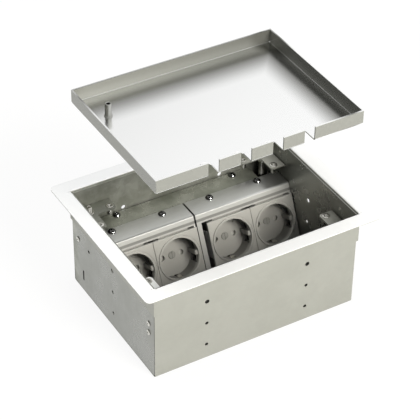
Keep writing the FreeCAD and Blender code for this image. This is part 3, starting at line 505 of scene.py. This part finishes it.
brushedCarrier = {"colour": (0.60, 0.605, 0.585), "cloudColour": (0.54, 0.545, 0.52),
                  "metallic": 0.9, "roughness": 0.30, "roughSpread": 0.03,
                  "stretch": (20, 1200, 1200), "cells": 250.0, "clouds": 25.0,
                  "cloudShare": 0.3, "cellShare": 0.0, "grainShare": 0.10, "grainRelief": 0.35,
                  "cellRelief": 0.0,
                  # painted light: the face below the fold is painted paler than the top, as turned
                  # to the light
                  "bands": {"heights": ((0.0, carrierTop - 0.00069),), "soft": 0.0006,
                            "colour": (0.72, 0.72, 0.69), "metallic": 0.5, "roughness": 0.32},
                  # painted shadow above the plates
                  "groove": {"span": (plateTop + 0.0009, plateTop + 0.0034), "soft": 0.0004,
                             "share": 0.8, "colour": (0.27, 0.27, 0.255)},
                  # painted shade on the edges across the gap
                  "darkEdge": {"gap": carrierGap, "step": (0.0007, 0.0011), "share": 0.93,
                               "colour": (0.015, 0.015, 0.014)}}
brightZinc = {"colour": (0.66, 0.65, 0.61), "cloudColour": (0.58, 0.57, 0.50), "metallic": 1.0,
              "roughness": 0.22, "roughSpread": 0.05, "stretch": (500, 500, 500), "cells": 900.0,
              "clouds": 150.0, "cloudShare": 0.5, "cellShare": 0.1, "grainShare": 0.08,
              "grainRelief": 0.1, "cellRelief": 0.1}
# painted shade: the chrome is made near black, standing in for the dark box that it mirrors
chromed = {**brightZinc, "colour": (0.12, 0.12, 0.115), "cloudColour": (0.10, 0.10, 0.095),
           "roughness": 0.07, "roughSpread": 0.02, "stretch": (400, 400, 400), "cells": 500.0,
           "clouds": 120.0, "cloudShare": 0.3, "cellShare": 0.0, "grainShare": 0.05,
           "grainRelief": 0.05, "cellRelief": 0.0}
springSteel = {**brightZinc, "colour": (0.45, 0.45, 0.44), "cloudColour": (0.38, 0.36, 0.33),
               "roughness": 0.28, "stretch": (300, 900, 900), "clouds": 200.0, "cellShare": 0.0,
               "grainShare": 0.1, "grainRelief": 0.2, "cellRelief": 0.0}
contactBrass = {**brightZinc, "colour": (0.72, 0.55, 0.26), "cloudColour": (0.55, 0.38, 0.17),
                "roughness": 0.28, "roughSpread": 0.06, "stretch": (600, 600, 600),
                "cells": 700.0, "clouds": 160.0, "cloudShare": 0.6, "grainShare": 0.1}
facePlastic = {"colour": (0.40, 0.395, 0.37), "roughness": 0.34, "grainScale": 1500.0,
               "toneShare": 0.12, "dustScale": 1100.0, "dustShare": 0.10, "relief": 0.10,
               "ior": 1.5}
platePlastic = {**facePlastic,
                # painted shade on the walls and ribs of the wells
                "well": {"front": plateFront, "lipStep": (0.0025, 0.0065),
                         "discStep": (0.0164, 0.0171), "share": 0.8,
                         "colour": (0.12, 0.118, 0.11)}}
# painted light: the cheeks are painted twice as pale as the plates' own plastic, to look lit down
# in their shaded gap
cheekPlastic = {**facePlastic, "colour": (0.82, 0.81, 0.77)}
basePlastic = {**facePlastic, "colour": (0.05, 0.05, 0.05), "roughness": 0.5,
               "grainScale": 900.0, "toneShare": 0.2, "dustScale": 900.0, "dustShare": 0.15,
               "relief": 0.2}
shutterPlastic = {**facePlastic, "colour": (0.50, 0.495, 0.465), "roughness": 0.4,
                  "grainScale": 1200.0, "toneShare": 0.15, "dustScale": 1000.0}
grommetRubber = {**facePlastic, "colour": (0.022, 0.022, 0.022), "roughness": 0.6,
                 "grainScale": 700.0, "toneShare": 0.3, "dustScale": 800.0, "dustShare": 0.3,
                 "relief": 0.3}

slotMaterials = {
    "galvanised_sheet": sheetMetal("galvanisedSheet", galvanised),
    "satin_stainless": sheetMetal("satinLid", satinLid),
    "brushed_carrier": sheetMetal("brushedCarrier", brushedCarrier),
    "bright_zinc": sheetMetal("brightZinc", brightZinc),
    "chromed_screw": sheetMetal("chromedScrew", chromed),
    "spring_steel": sheetMetal("springSteel", springSteel),
    "contact_brass": sheetMetal("contactBrass", contactBrass),
    "socket_face_plastic": moulded("socketFacePlastic", platePlastic),
    "socket_base_plastic": moulded("socketBasePlastic", basePlastic),
    "shutter_plastic": moulded("shutterPlastic", shutterPlastic),
    "grommet_rubber": moulded("grommetRubber", grommetRubber),
}
nodeMaterials = {
    "trim_frame": sheetMetal("paleRim", paleRim),
    "centre_screws": sheetMetal("dullZinc", dullZinc),
    "lift_sleeve": sheetMetal("turnedSleeve", turnedSleeve),
    "box_trough": sheetMetal("troughZinc", troughZinc),
    "rear_rail": sheetMetal("weatheredRail", weathered),
    "corner_gusset_back_left": sheetMetal("dullGusset", dullGusset),
    "corner_gusset_front_left": sheetMetal("paleGusset", paleGusset),
    "side_plate_left": sheetMetal("sideZinc_left", sideZinc),
    "side_plate_right": sheetMetal("sideZinc_right", sideZinc),
}
cheekMaterial = moulded("cheekPlastic", cheekPlastic)
slotOf = {part["node"]: part["material_slot"] for part in frame["record"]["subparts"]}


def dress(mesh, material):
    mesh.materials.clear()
    mesh.materials.append(material)


for node, slot in slotOf.items():
    dress(nodes[node].data, nodeMaterials.get(node, slotMaterials[slot]))
print("materials on")

# shapes worked out with numpy, in millimetres until they are placed


def turned(rows, sides, pitch=1.0, depth=0.0):
    # a skin round the Z axis: at angle a the row stands at (r cos a, r sin a, height), where r is
    # the row's radius, cut back to a hexagon's flats where the row has them, and cut back again by
    # a triangle wave of height / pitch - a / full turn, which is a thread, where it has a thread
    radius, height, flats, thread = np.array(rows, dtype=float).T[:, :, None]
    angle = np.arange(sides)[None, :] * 2 * np.pi / sides
    toFlat = np.cos(angle % (np.pi / 3) - np.pi / 6)
    hexed = np.where(flats > 0, flats / 2 / toFlat, np.inf)
    wave = np.abs(2 * ((height / pitch - angle / (2 * np.pi)) % 1.0) - 1)
    out = np.minimum(radius, hexed) - depth * thread * wave
    points = np.stack([out * np.cos(angle), out * np.sin(angle), height + 0 * angle], axis=2)
    return points.reshape(-1, 3), gridFaces(len(rows), sides)


def gridFaces(rows, columns, closed=True):
    # the four corners of each cell of a grid, whose columns run round into the first if closed
    across = columns if closed else columns - 1
    row, column = np.divmod(np.arange((rows - 1) * across), across)
    after = (column + 1) % columns
    here = row * columns
    return np.stack([here + column, here + after, here + columns + after,
                     here + columns + column], axis=1)


def plainRow(radius, height):
    return (radius, height, 0.0, 0.0)


def hexRow(radius, height, flats):
    return (radius, height, flats, 0.0)


def domeRows(outer, inner, height, edge, count):
    # a low dome from the inner radius out to the edge, on a quarter of an ellipse
    turns = np.linspace(math.acos(inner / outer), 0.0, count)
    return [plainRow(outer * math.cos(turn), edge + (height - edge) * math.sin(turn))
            for turn in turns]


rowsPerPitch = 8


def threadRows(radius, top, low, pitch):
    # rows close enough to draw each turn of the thread, plain at both ends
    count = max(3, int(round((top - low) / pitch * rowsPerPitch)) + 1)
    heights = np.linspace(top, low, count)
    inner = [(radius, height, 0.0, 1.0) for height in heights[1:-1]]
    return [plainRow(radius, top)] + inner + [plainRow(radius, low)]


def stood(skin, place, way=(0, 0, 1)):
    # the skin's Z axis is turned to the way given, and its origin goes to the place, in metres
    points, faces = skin
    turn = np.array(Vector((0, 0, 1)).rotation_difference(Vector(way)).to_matrix())
    return (points @ turn.T) * mm + np.array(place), faces


def solidsOf(node):
    # the separate solids of a CAD node: the lowest and highest corner of each
    points = nodePoints(node)
    mesh = nodes[node].data
    corners = np.empty(len(mesh.loops), dtype=np.int32)
    mesh.loops.foreach_get("vertex_index", corners)
    rounded = np.round(points, decimals=6)
    same = np.unique(rounded, axis=0, return_inverse=True)[1].ravel()
    triangles = same[corners].reshape(-1, 3)
    label = np.arange(same.max() + 1)
    settled = False
    while not settled:
        after = label.copy()
        np.minimum.at(after, triangles.ravel(), np.repeat(label[triangles].min(axis=1), 3))
        after = after[after]
        settled = bool((after == label).all())
        label = after
    groups = label[same]
    return [(points[groups == group].min(axis=0), points[groups == group].max(axis=0))
            for group in np.unique(groups)]


def middle(low, high, height):
    return ((low[0] + high[0]) / 2, (low[1] + high[1]) / 2, height)


def reach(low, high, axis):
    # how long a solid is along one axis, in millimetres
    return (high[axis] - low[axis]) * perMetre


print("shapes ready")

# pieces

meshCare = {"merge": 1e-6, "degenerate": 1e-7, "flatAngle": 0.004, "sharpAngle": 0.6,
            "bevelSegments": 2, "bevelAngle": 0.55}


def bodyOf(node):
    return next(name for name, empty in frame["bodies"].items() if nodes[node].parent == empty)


def addPiece(name, mesh, node):
    # the finished mesh takes the place, the body and the finish of one CAD node
    piece = bpy.data.objects.new(name, mesh)
    scene.collection.objects.link(piece)
    dress(mesh, nodes[node].data.materials[0])
    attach(piece, bodyOf(node))
    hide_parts(node)
    return piece


def makePiece(name, skins, node, sharpAngle=meshCare["sharpAngle"]):
    points = np.concatenate([skin[0] for skin in skins])
    starts = np.cumsum([0] + [len(skin[0]) for skin in skins[:-1]])
    faces = np.concatenate([skin[1] + start for skin, start in zip(skins, starts)])
    mesh = bpy.data.meshes.new(name)
    mesh.from_pydata(points.tolist(), [], faces.tolist())
    work = bmesh.new()
    work.from_mesh(mesh)
    bmesh.ops.remove_doubles(work, verts=work.verts, dist=meshCare["merge"])
    bmesh.ops.dissolve_degenerate(work, edges=work.edges, dist=meshCare["degenerate"])
    bmesh.ops.recalc_face_normals(work, faces=work.faces)
    work.to_mesh(mesh)
    work.free()
    mesh.shade_smooth()
    mesh.set_sharp_from_angle(angle=sharpAngle)
    return addPiece(name, mesh, node)


def softCopy(node, edgeRadius):
    # the CAD node's own faces, joined up, with its edges rounded over
    mesh = nodes[node].data.copy()
    mesh.name = node + "Soft"
    work = bmesh.new()
    work.from_mesh(mesh)
    bmesh.ops.remove_doubles(work, verts=work.verts, dist=meshCare["merge"])
    bmesh.ops.dissolve_limit(work, angle_limit=meshCare["flatAngle"], verts=work.verts,
                             edges=work.edges)
    work.to_mesh(mesh)
    work.free()
    mesh.shade_smooth()
    piece = addPiece(node + "Soft", mesh, node)
    bevel = piece.modifiers.new("roundedEdges", "BEVEL")
    bevel.width = edgeRadius
    bevel.segments = meshCare["bevelSegments"]
    bevel.limit_method = "ANGLE"
    bevel.angle_limit = meshCare["bevelAngle"]
    bevel.miter_outer = "MITER_ARC"
    piece.modifiers.new("flatFaces", "WEIGHTED_NORMAL")
    return piece


# sheet metal and socket faces keep the CAD shape and get rounded edges

sheetEdge = 0.00015
edgeRadii = {"trim_frame": 0.00022, "box_trough": sheetEdge, "side_plate_left": sheetEdge,
             "side_plate_right": sheetEdge, "rear_rail": sheetEdge, "rail_brackets": sheetEdge,
             "front_rail": sheetEdge, "socket_carrier_left": 0.00016,
             "socket_carrier_right": 0.00016, "lid_tray": sheetEdge, "centre_screws": 0.00008}
gussetCorners = ("front_left", "front_right", "back_left", "back_right")
for corner in gussetCorners:
    edgeRadii["corner_gusset_" + corner] = sheetEdge
for index in range(1, 5):
    edgeRadii["socket_plate_" + str(index)] = 0.00012
    edgeRadii["earth_strap_" + str(index)] = 0.00006
for node, radius in edgeRadii.items():
    softCopy(node, radius)
print("edges rounded")

# closed cheeks on the left sides of the plates that start a pair

plateCheek = {"fromEdge": 0.00188, "bulge": 0.0004, "thickness": 0.0004, "height": 0.0260,
              "near": -0.0030, "deep": -0.0150, "rows": 13, "columns": 9}


def addCheek(index, values):
    # a panel in the plate's own plane of height and depth: x bows out by bulge (1 - s^4)(1 - t^4),
    # where s and t run from -1 to 1 over the panel's height and depth
    plate = "socket_plate_" + str(index)
    name = "plateCheek_" + str(index)
    points = nodePoints(plate)
    heights = points @ faceRise
    centre = (heights.min() + heights.max()) / 2 * faceRise + reachOut(plate) * faceOut
    s, t = np.meshgrid(np.linspace(-1, 1, values["rows"]), np.linspace(-1, 1, values["columns"]),
                       indexing="ij")
    rise = s * values["height"] / 2
    out = (values["near"] + values["deep"]) / 2 + t * (values["near"] - values["deep"]) / 2
    grid = centre + rise[..., None] * faceRise + out[..., None] * faceOut
    bow = values["bulge"] * (1 - s ** 4) * (1 - t ** 4)
    grid[..., 0] = points[:, 0].min() + values["fromEdge"] - bow
    mesh = bpy.data.meshes.new(name)
    mesh.from_pydata(grid.reshape(-1, 3).tolist(), [],
                     gridFaces(values["rows"], values["columns"], closed=False).tolist())
    mesh.shade_smooth()
    mesh.materials.append(cheekMaterial)
    cheek = bpy.data.objects.new(name, mesh)
    scene.collection.objects.link(cheek)
    wall = cheek.modifiers.new("wall", "SOLIDIFY")
    wall.thickness = values["thickness"]
    wall.offset = 0.0
    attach(cheek, "box")


for index in (1, 3):
    addCheek(index, plateCheek)
print("cheeks made")

# shutter springs, with rounded edges, each on a mesh of its own

springFold = {"edgeRadius": 0.00004, "travel": 0.00505, "room": 0.0001}
for index in range(1, 5):
    low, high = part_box("shutter_spring_" + str(index))
    spring = softCopy("shutter_spring_" + str(index), springFold["edgeRadius"])
    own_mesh(spring)
print("springs made")

# pan-head screws on the carriers and the rear rail

panScrew = {"headRadius": 3.6, "headHeight": 2.4, "headEdge": 0.2, "headRound": 0.12,
            "domeSteps": 14, "recessFlats": 2.2, "recessDepth": 1.3, "recessRim": 1.42,
            "recessPoint": 0.25, "pointShare": 0.7, "recessFoot": 0.1, "recessMouth": 0.16,
            "rimDrop": 0.02, "shankRadius": 2.0, "pitch": 0.7, "threadDepth": 0.42, "tip": 0.5,
            "sides": 48}


def panScrewSkin(values, length):
    head = values["headHeight"]
    floor = head - values["recessDepth"]
    flats = values["recessFlats"]
    rim = values["recessRim"]
    corner = values["headRound"]
    rows = [plainRow(0.0, floor - values["recessPoint"]),
            hexRow(rim * 2, floor, flats * values["pointShare"]),
            hexRow(rim * 2, floor + values["recessFoot"], flats),
            hexRow(rim * 2, head - values["recessMouth"], flats),
            plainRow(rim, head - values["rimDrop"])]
    rows += domeRows(values["headRadius"], rim + corner, head, values["headEdge"],
                     values["domeSteps"])
    rows += [plainRow(values["headRadius"], corner), plainRow(values["headRadius"] - corner, 0.0)]
    rows += threadRows(values["shankRadius"], 0.0, values["tip"] - length, values["pitch"])
    rows += [plainRow(values["shankRadius"] - values["tip"], -length), plainRow(0.0, -length)]
    return turned(rows, values["sides"], values["pitch"], values["threadDepth"])


def addPanScrews(node, name, values):
    skins = []
    for low, high in solidsOf(node):
        skin = panScrewSkin(values, reach(low, high, 2) - values["headHeight"])
        skins.append(stood(skin, middle(low, high, high[2] - values["headHeight"] * mm)))
    makePiece(name, skins, node)


addPanScrews("carrier_screws", "carrierScrewsTurned", panScrew)
addPanScrews("rail_screws", "railScrewsTurned", panScrew)
print("pan screws made")

# levelling screws in the corner holes of the gussets

levellingScrew = {"radius": 2.5, "pitch": 0.8, "threadDepth": 0.45, "recessFlats": 2.5,
                  "recessDepth": 2.0, "recessPoint": 0.4, "recessMouth": 0.12,
                  "mouthShare": 0.66, "bevel": 0.45, "sides": 36}


def levellingSkin(values, length):
    radius = values["radius"]
    flats = values["recessFlats"]
    bevel = values["bevel"]
    floor = length - values["recessDepth"]
    rows = [plainRow(0.0, floor - values["recessPoint"]), hexRow(radius, floor, flats),
            hexRow(radius, length - values["recessMouth"], flats),
            plainRow(radius * values["mouthShare"], length), plainRow(radius - bevel, length)]
    rows += threadRows(radius, length - bevel, bevel, values["pitch"])
    rows += [plainRow(radius - bevel, 0.0), plainRow(0.0, 0.0)]
    return turned(rows, values["sides"], values["pitch"], values["threadDepth"])


for corner in gussetCorners:
    low, high = solidsOf("levelling_screw_" + corner)[0]
    skin = levellingSkin(levellingScrew, reach(low, high, 2))
    makePiece("levellingScrewTurned_" + corner, [stood(skin, middle(low, high, low[2]))],
              "levelling_screw_" + corner)
print("levelling screws made")

# blind rivets, with the hollow that the broken pin leaves

blindRivet = {"headRadius": 2.6, "headHeight": 1.1, "headEdge": 0.3, "headRound": 0.15,
              "underHead": (0.06, 0.05), "domeSteps": 9, "pinRadius": 0.8, "pinDepth": 0.75,
              "pinTip": 0.2, "tipShare": 0.6, "pinEdge": 0.1, "shankRadius": 1.6,
              "flaredTail": {"flare": 0.5, "height": 1.4},
              "plainTail": {"flare": 0.0, "height": 0.4},
              "tailTop": ((-0.1, -0.02), (0.0, -0.2)), "tailFoot": ((0.0, 0.3), (-0.25, 0.05)),
              "holeRadius": 0.5, "holeDepth": 0.3, "sides": 32}


def rivetSkin(values, depth, tail):
    # depth is how far the rivet reaches behind its head
    head = values["headHeight"]
    pin = values["pinRadius"]
    floor = head - values["pinDepth"]
    rows = [plainRow(0.0, floor + values["pinTip"]), plainRow(pin * values["tipShare"], floor),
            plainRow(pin, floor), plainRow(pin, head - values["pinEdge"])]
    rows += domeRows(values["headRadius"], pin + values["headRound"], head, values["headEdge"],
                     values["domeSteps"])
    less, rise = values["underHead"]
    rows += [plainRow(values["headRadius"] - less, rise),
             plainRow(values["headRadius"] - values["headRound"], 0.0)]
    shank = values["shankRadius"]
    wide = shank + tail["flare"]
    top = tail["height"] - depth
    rows += [plainRow(shank, 0.0), plainRow(shank, top)]
    rows += [plainRow(wide + out, top + up) for out, up in values["tailTop"]]
    rows += [plainRow(wide + out, up - depth) for out, up in values["tailFoot"]]
    hole = values["holeRadius"]
    rows += [plainRow(hole, -depth), plainRow(hole, values["holeDepth"] - depth),
             plainRow(0.0, values["holeDepth"] - depth)]
    return turned(rows, values["sides"])


def addRivets(node, name, axis, sense, tail):
    # axis is the rivets' own, and sense says which way a head at that place looks
    skins = []
    head = blindRivet["headHeight"]
    for low, high in solidsOf(node):
        way = np.zeros(3)
        way[axis] = sense(low, high)
        seat = (low + high) / 2
        seat[axis] = high[axis] - head * mm if way[axis] > 0 else low[axis] + head * mm
        skin = rivetSkin(blindRivet, reach(low, high, axis) - head, blindRivet[tail])
        skins.append(stood(skin, seat, way))
    makePiece(name, skins, node)


def outwards(low, high):
    return 1.0 if low[0] + high[0] > 0 else -1.0


def alongAxis(low, high):
    return 1.0


addRivets("frame_rivets", "frameRivetsTurned", 0, outwards, "plainTail")
addRivets("gusset_rivets", "gussetRivetsTurned", 0, outwards, "flaredTail")
addRivets("rail_bracket_rivets", "bracketRivetsTurned", 1, alongAxis, "flaredTail")
print("rivets made")

# rivet nuts in the gussets, and the rivets of the front rail

rivetNut = {"wall": 1.0, "flange": 0.6, "flangeExtra": 1.9, "flangeRound": 0.2,
            "flangeDip": 0.06, "mouth": 0.35, "mouthTop": 0.4, "threadFoot": 0.3, "foot": 0.2,
            "bulge": ((0.0, -1.7), (0.3, -2.0), (0.42, -2.6), (0.3, -3.2), (0.0, -3.5)),
            "pitch": 0.8, "threadDepth": 0.35, "sides": 36}


def nutSkin(values, radius, length):
    # the outline runs up the bore, over the flange and down the body, and closes on itself
    bore = radius - values["flangeExtra"]
    body = bore + values["wall"]
    flange = values["flange"]
    low = flange - length
    corner = values["flangeRound"]
    start = plainRow(bore + values["mouth"], low)
    rows = [start] + threadRows(bore + values["threadDepth"], flange - values["mouth"],
                                low + values["threadFoot"], values["pitch"])[::-1]
    rows += [plainRow(bore + values["mouthTop"], flange), plainRow(radius - corner, flange),
             plainRow(radius - values["flangeDip"], flange - values["flangeDip"]),
             plainRow(radius, flange - corner), plainRow(radius, 0.0), plainRow(body, 0.0)]
    rows += [plainRow(body + out, height) for out, height in values["bulge"]]
    rows += [plainRow(body, low + values["foot"]), plainRow(body - values["foot"], low), start]
    return turned(rows, values["sides"], values["pitch"], values["threadDepth"])


skins = []
for low, high in solidsOf("gusset_rivet_nuts"):
    skin = nutSkin(rivetNut, reach(low, high, 0) / 2, reach(low, high, 2))
    skins.append(stood(skin, middle(low, high, high[2] - rivetNut["flange"] * mm)))
makePiece("rivetNutsTurned", skins, "gusset_rivet_nuts")
addRivets("front_rail_rivets", "frontRailRivetsTurned", 2, alongAxis, "plainTail")
print("rivet nuts made")

# lift sleeve in the lid, with a rounded mouth and a bead of weld at its foot

liftSleeve = {"boreRadius": 1.65, "mouth": 0.55, "mouthSteps": 11, "beadRadius": 0.7,
              "beadFlat": 0.75, "beadTurn": 0.62, "beadSteps": 7, "footExtra": 0.3, "sides": 48}


def sleeveSkin(values, radius, length):
    bore = values["boreRadius"]
    mouth = values["mouth"]
    centre = (radius + bore) / 2
    half = (radius - bore) / 2
    lip = [plainRow(centre - half * math.cos(turn), length - mouth + mouth * math.sin(turn))
           for turn in np.linspace(0.0, np.pi, values["mouthSteps"])]
    bead = [plainRow(radius + values["beadRadius"] * math.sin(turn),
                     values["beadRadius"] * (1 + math.cos(turn)) * values["beadFlat"])
            for turn in np.linspace(0.0, np.pi * values["beadTurn"], values["beadSteps"])]
    foot = plainRow(bore, 0.0)
    return turned([foot] + lip + bead + [plainRow(radius + values["footExtra"], 0.0), foot],
                  values["sides"])


low, high = solidsOf("lift_sleeve")[0]
sleeve = sleeveSkin(liftSleeve, reach(low, high, 0) / 2, reach(low, high, 2))
makePiece("liftSleeveTurned", [stood(sleeve, middle(low, high, low[2]))], "lift_sleeve")
print("lift sleeve made")

# cable grommets in the back wall, with a round lip on each face

cableGrommet = {"boreRadius": 6.5, "neckLess": 2.0, "sheet": 1.2, "lipCorner": 0.8,
                "lipSteps": 6, "lipEdge": 0.25, "sharpAngle": 1.0, "sides": 72}


def mirroredRows(rows):
    return [plainRow(row[0], -row[1]) for row in rows[::-1]]


def grommetSkin(values, lipRadius, half):
    # the outline runs round one lip, along the groove for the wall, and round the other lip
    corner = values["lipCorner"]
    turns = np.linspace(0.0, np.pi / 2, values["lipSteps"])
    bore = values["boreRadius"]
    near = [plainRow(bore + corner * (1 - math.sin(turn)), corner * (1 - math.cos(turn)) - half)
            for turn in turns[::-1]]
    inside = near + mirroredRows(near)
    far = [plainRow(lipRadius - corner * (1 - math.sin(turn)),
                    half - corner * (1 - math.cos(turn))) for turn in turns]
    groove = values["sheet"] / 2
    neck = lipRadius - values["neckLess"]
    edge = values["lipEdge"]
    outer = far + [plainRow(lipRadius, groove + edge), plainRow(lipRadius - edge, groove),
                   plainRow(neck, groove)]
    return turned(inside + outer + mirroredRows(outer) + inside[:1], values["sides"])


skins = []
for low, high in solidsOf("cable_grommets"):
    skin = grommetSkin(cableGrommet, reach(low, high, 0) / 2, reach(low, high, 1) / 2)
    skins.append(stood(skin, (low + high) / 2, (0, 1, 0)))
makePiece("cableGrommetsTurned", skins, "cable_grommets", cableGrommet["sharpAngle"])
print("grommets made")

# earth stud on the floor, with its washer and two nuts

earthStud = {"radius": 2.5, "foot": 1.0, "footRound": 0.2, "rootGap": 0.3, "pitch": 0.8,
             "threadDepth": 0.4, "bevel": 0.5, "flats": 8.0, "nut": 4.0, "nutMouth": 0.4,
             "nutCorner": 0.45, "nutGap": 0.05, "washer": 1.0, "washerRadius": 5.0,
             "washerRound": 0.12, "sides": 48}


def studSkin(values, footRadius, length):
    radius = values["radius"]
    foot = values["foot"]
    corner = values["footRound"]
    gap = values["rootGap"]
    rows = [plainRow(0.0, 0.0), plainRow(footRadius, 0.0), plainRow(footRadius, foot - corner),
            plainRow(footRadius - corner, foot), plainRow(radius + gap, foot)]
    rows += threadRows(radius, length - values["bevel"], foot + gap, values["pitch"])[::-1]
    rows += [plainRow(radius - values["bevel"], length), plainRow(0.0, length)]
    return turned(rows, values["sides"], values["pitch"], values["threadDepth"])


def hexNutSkin(values, low):
    # the corners of the hexagon are turned off at both ends
    bore = values["radius"] + values["nutGap"]
    high = low + values["nut"]
    flats = values["flats"]
    corner = flats / math.sqrt(3)
    mouth = values["nutMouth"]
    start = plainRow(bore + mouth, low)
    rows = [start, plainRow(flats / 2, low), hexRow(corner, low + values["nutCorner"], flats),
            hexRow(corner, high - values["nutCorner"], flats), plainRow(flats / 2, high),
            plainRow(bore + mouth, high), plainRow(bore, high - mouth),
            plainRow(bore, low + mouth), start]
    return turned(rows, values["sides"])


def washerSkin(values):
    bore = values["radius"] + values["nutGap"]
    outer = values["washerRadius"]
    high = values["washer"]
    corner = values["washerRound"]
    rows = [plainRow(bore, 0.0), plainRow(outer - corner, 0.0), plainRow(outer, corner),
            plainRow(outer, high - corner), plainRow(outer - corner, high), plainRow(bore, high),
            plainRow(bore, 0.0)]
    return turned(rows, values["sides"])


low, high = solidsOf("earth_stud")[0]
stud = studSkin(earthStud, reach(low, high, 0) / 2, reach(low, high, 2))
makePiece("earthStudTurned", [stood(stud, middle(low, high, low[2]))], "earth_stud")
nutSeat = middle(low, high, min(solid[0][2] for solid in solidsOf("earth_stud_nuts")))
nutStack = [washerSkin(earthStud), hexNutSkin(earthStud, earthStud["washer"]),
            hexNutSkin(earthStud, earthStud["washer"] + earthStud["nut"])]
makePiece("earthNutsTurned", [stood(skin, nutSeat) for skin in nutStack], "earth_stud_nuts")
print("earth stud made")

# studio

studio = {
    "floorSize": 6.0,
    "floorColour": (0.86, 0.86, 0.85, 1.0),
    "floorGlow": 0.88,
    "backColour": (1.0, 1.0, 1.0, 1.0),
    "brightSide": (0.55, -0.25, 0.80),
    "skySpan": (0.15, 0.60),
    "dimSky": (0.14, 0.14, 0.135),
    "brightSky": (1.06, 1.06, 1.06),
    "softSky": (0.36, 0.36, 0.355),
    "lampAim": (0.0, 0.0, 0.1),
    "lamps": {
        "overhead": {"place": (-0.30, 0.60, 2.0), "size": 1.4, "power": 27.0,
                     "colour": (1.0, 1.0, 1.0), "matt": True, "mirrored": False},
        "side": {"place": (0.35, -1.45, 1.05), "size": 0.9, "power": 50.0,
                 "colour": (1.0, 0.97, 0.90), "matt": True, "mirrored": False},
        "spark": {"place": (0.48, -1.17, 0.95), "size": 0.60, "power": 160.0,
                  "colour": (1.0, 1.0, 1.0), "matt": False, "mirrored": True,
                  "onlyOn": ("carrierScrewsTurned", "railScrewsTurned")},
    },
}


def makeFloor(values):
    half = values["floorSize"] / 2
    mesh = bpy.data.meshes.new("studioFloor")
    mesh.from_pydata([(-half, -half, 0), (half, -half, 0), (half, half, 0), (-half, half, 0)], [],
                     [(0, 1, 2, 3)])
    floor = bpy.data.objects.new("studioFloor", mesh)
    scene.collection.objects.link(floor)
    material, tree, place = startMaterial("studioPaper")
    matte = tree.add("ShaderNodeBsdfDiffuse", {"Color": values["floorColour"]})
    glow = tree.add("ShaderNodeEmission", {"Color": values["backColour"], "Strength": 1.0})
    path = tree.add("ShaderNodeLightPath").outputs
    seen = tree.mathNode("MAXIMUM", path["Is Camera Ray"],
                         tree.mathNode("MAXIMUM", path["Is Glossy Ray"],
                                       path["Is Transmission Ray"]))
    share = tree.times(seen, values["floorGlow"])
    both = tree.add("ShaderNodeMixShader", {0: share, 1: matte.outputs[0], 2: glow.outputs[0]})
    closeMaterial(tree, both.outputs[0])
    mesh.materials.append(material)


def makeWorld(values):
    world = bpy.data.worlds.new("studioAir")
    world.use_nodes = True
    world.node_tree.nodes.clear()
    scene.world = world
    tree = Tree(world.node_tree)
    way = tree.add("ShaderNodeTexCoord").outputs["Generated"]
    towards = tree.ramp(tree.along(way, values["brightSide"]), *values["skySpan"])
    sky = tree.mixColours(towards, values["dimSky"], values["brightSky"])
    path = tree.add("ShaderNodeLightPath").outputs
    lit = tree.mixColours(path["Is Glossy Ray"], values["softSky"], sky)
    colour = tree.mixColours(path["Is Camera Ray"], lit, values["backColour"])
    air = tree.add("ShaderNodeBackground", {"Color": colour, "Strength": 1.0})
    tree.add("ShaderNodeOutputWorld", {"Surface": air.outputs[0]})


def makeLamp(name, values, target):
    data = bpy.data.lights.new(name, "AREA")
    data.shape = "SQUARE"
    data.size = values["size"]
    data.energy = values["power"]
    data.color = values["colour"]
    lamp = bpy.data.objects.new(name, data)
    lamp.visible_diffuse = values["matt"]
    lamp.visible_glossy = values["mirrored"]
    if "onlyOn" in values:  # a lamp that names its pieces shines on nothing else
        group = bpy.data.collections.new(name + "Receivers")
        for piece in values["onlyOn"]:
            group.objects.link(bpy.data.objects[piece])
        lamp.light_linking.receiver_collection = group
    place = Vector(values["place"])
    turn = (Vector(target) - place).to_track_quat("-Z", "Y").to_matrix().to_4x4()
    lamp.matrix_world = Matrix.Translation(place) @ turn
    scene.collection.objects.link(lamp)


makeFloor(studio)
makeWorld(studio)
for lampName, lampValues in studio["lamps"].items():
    makeLamp(lampName, lampValues, studio["lampAim"])
print("studio lit")
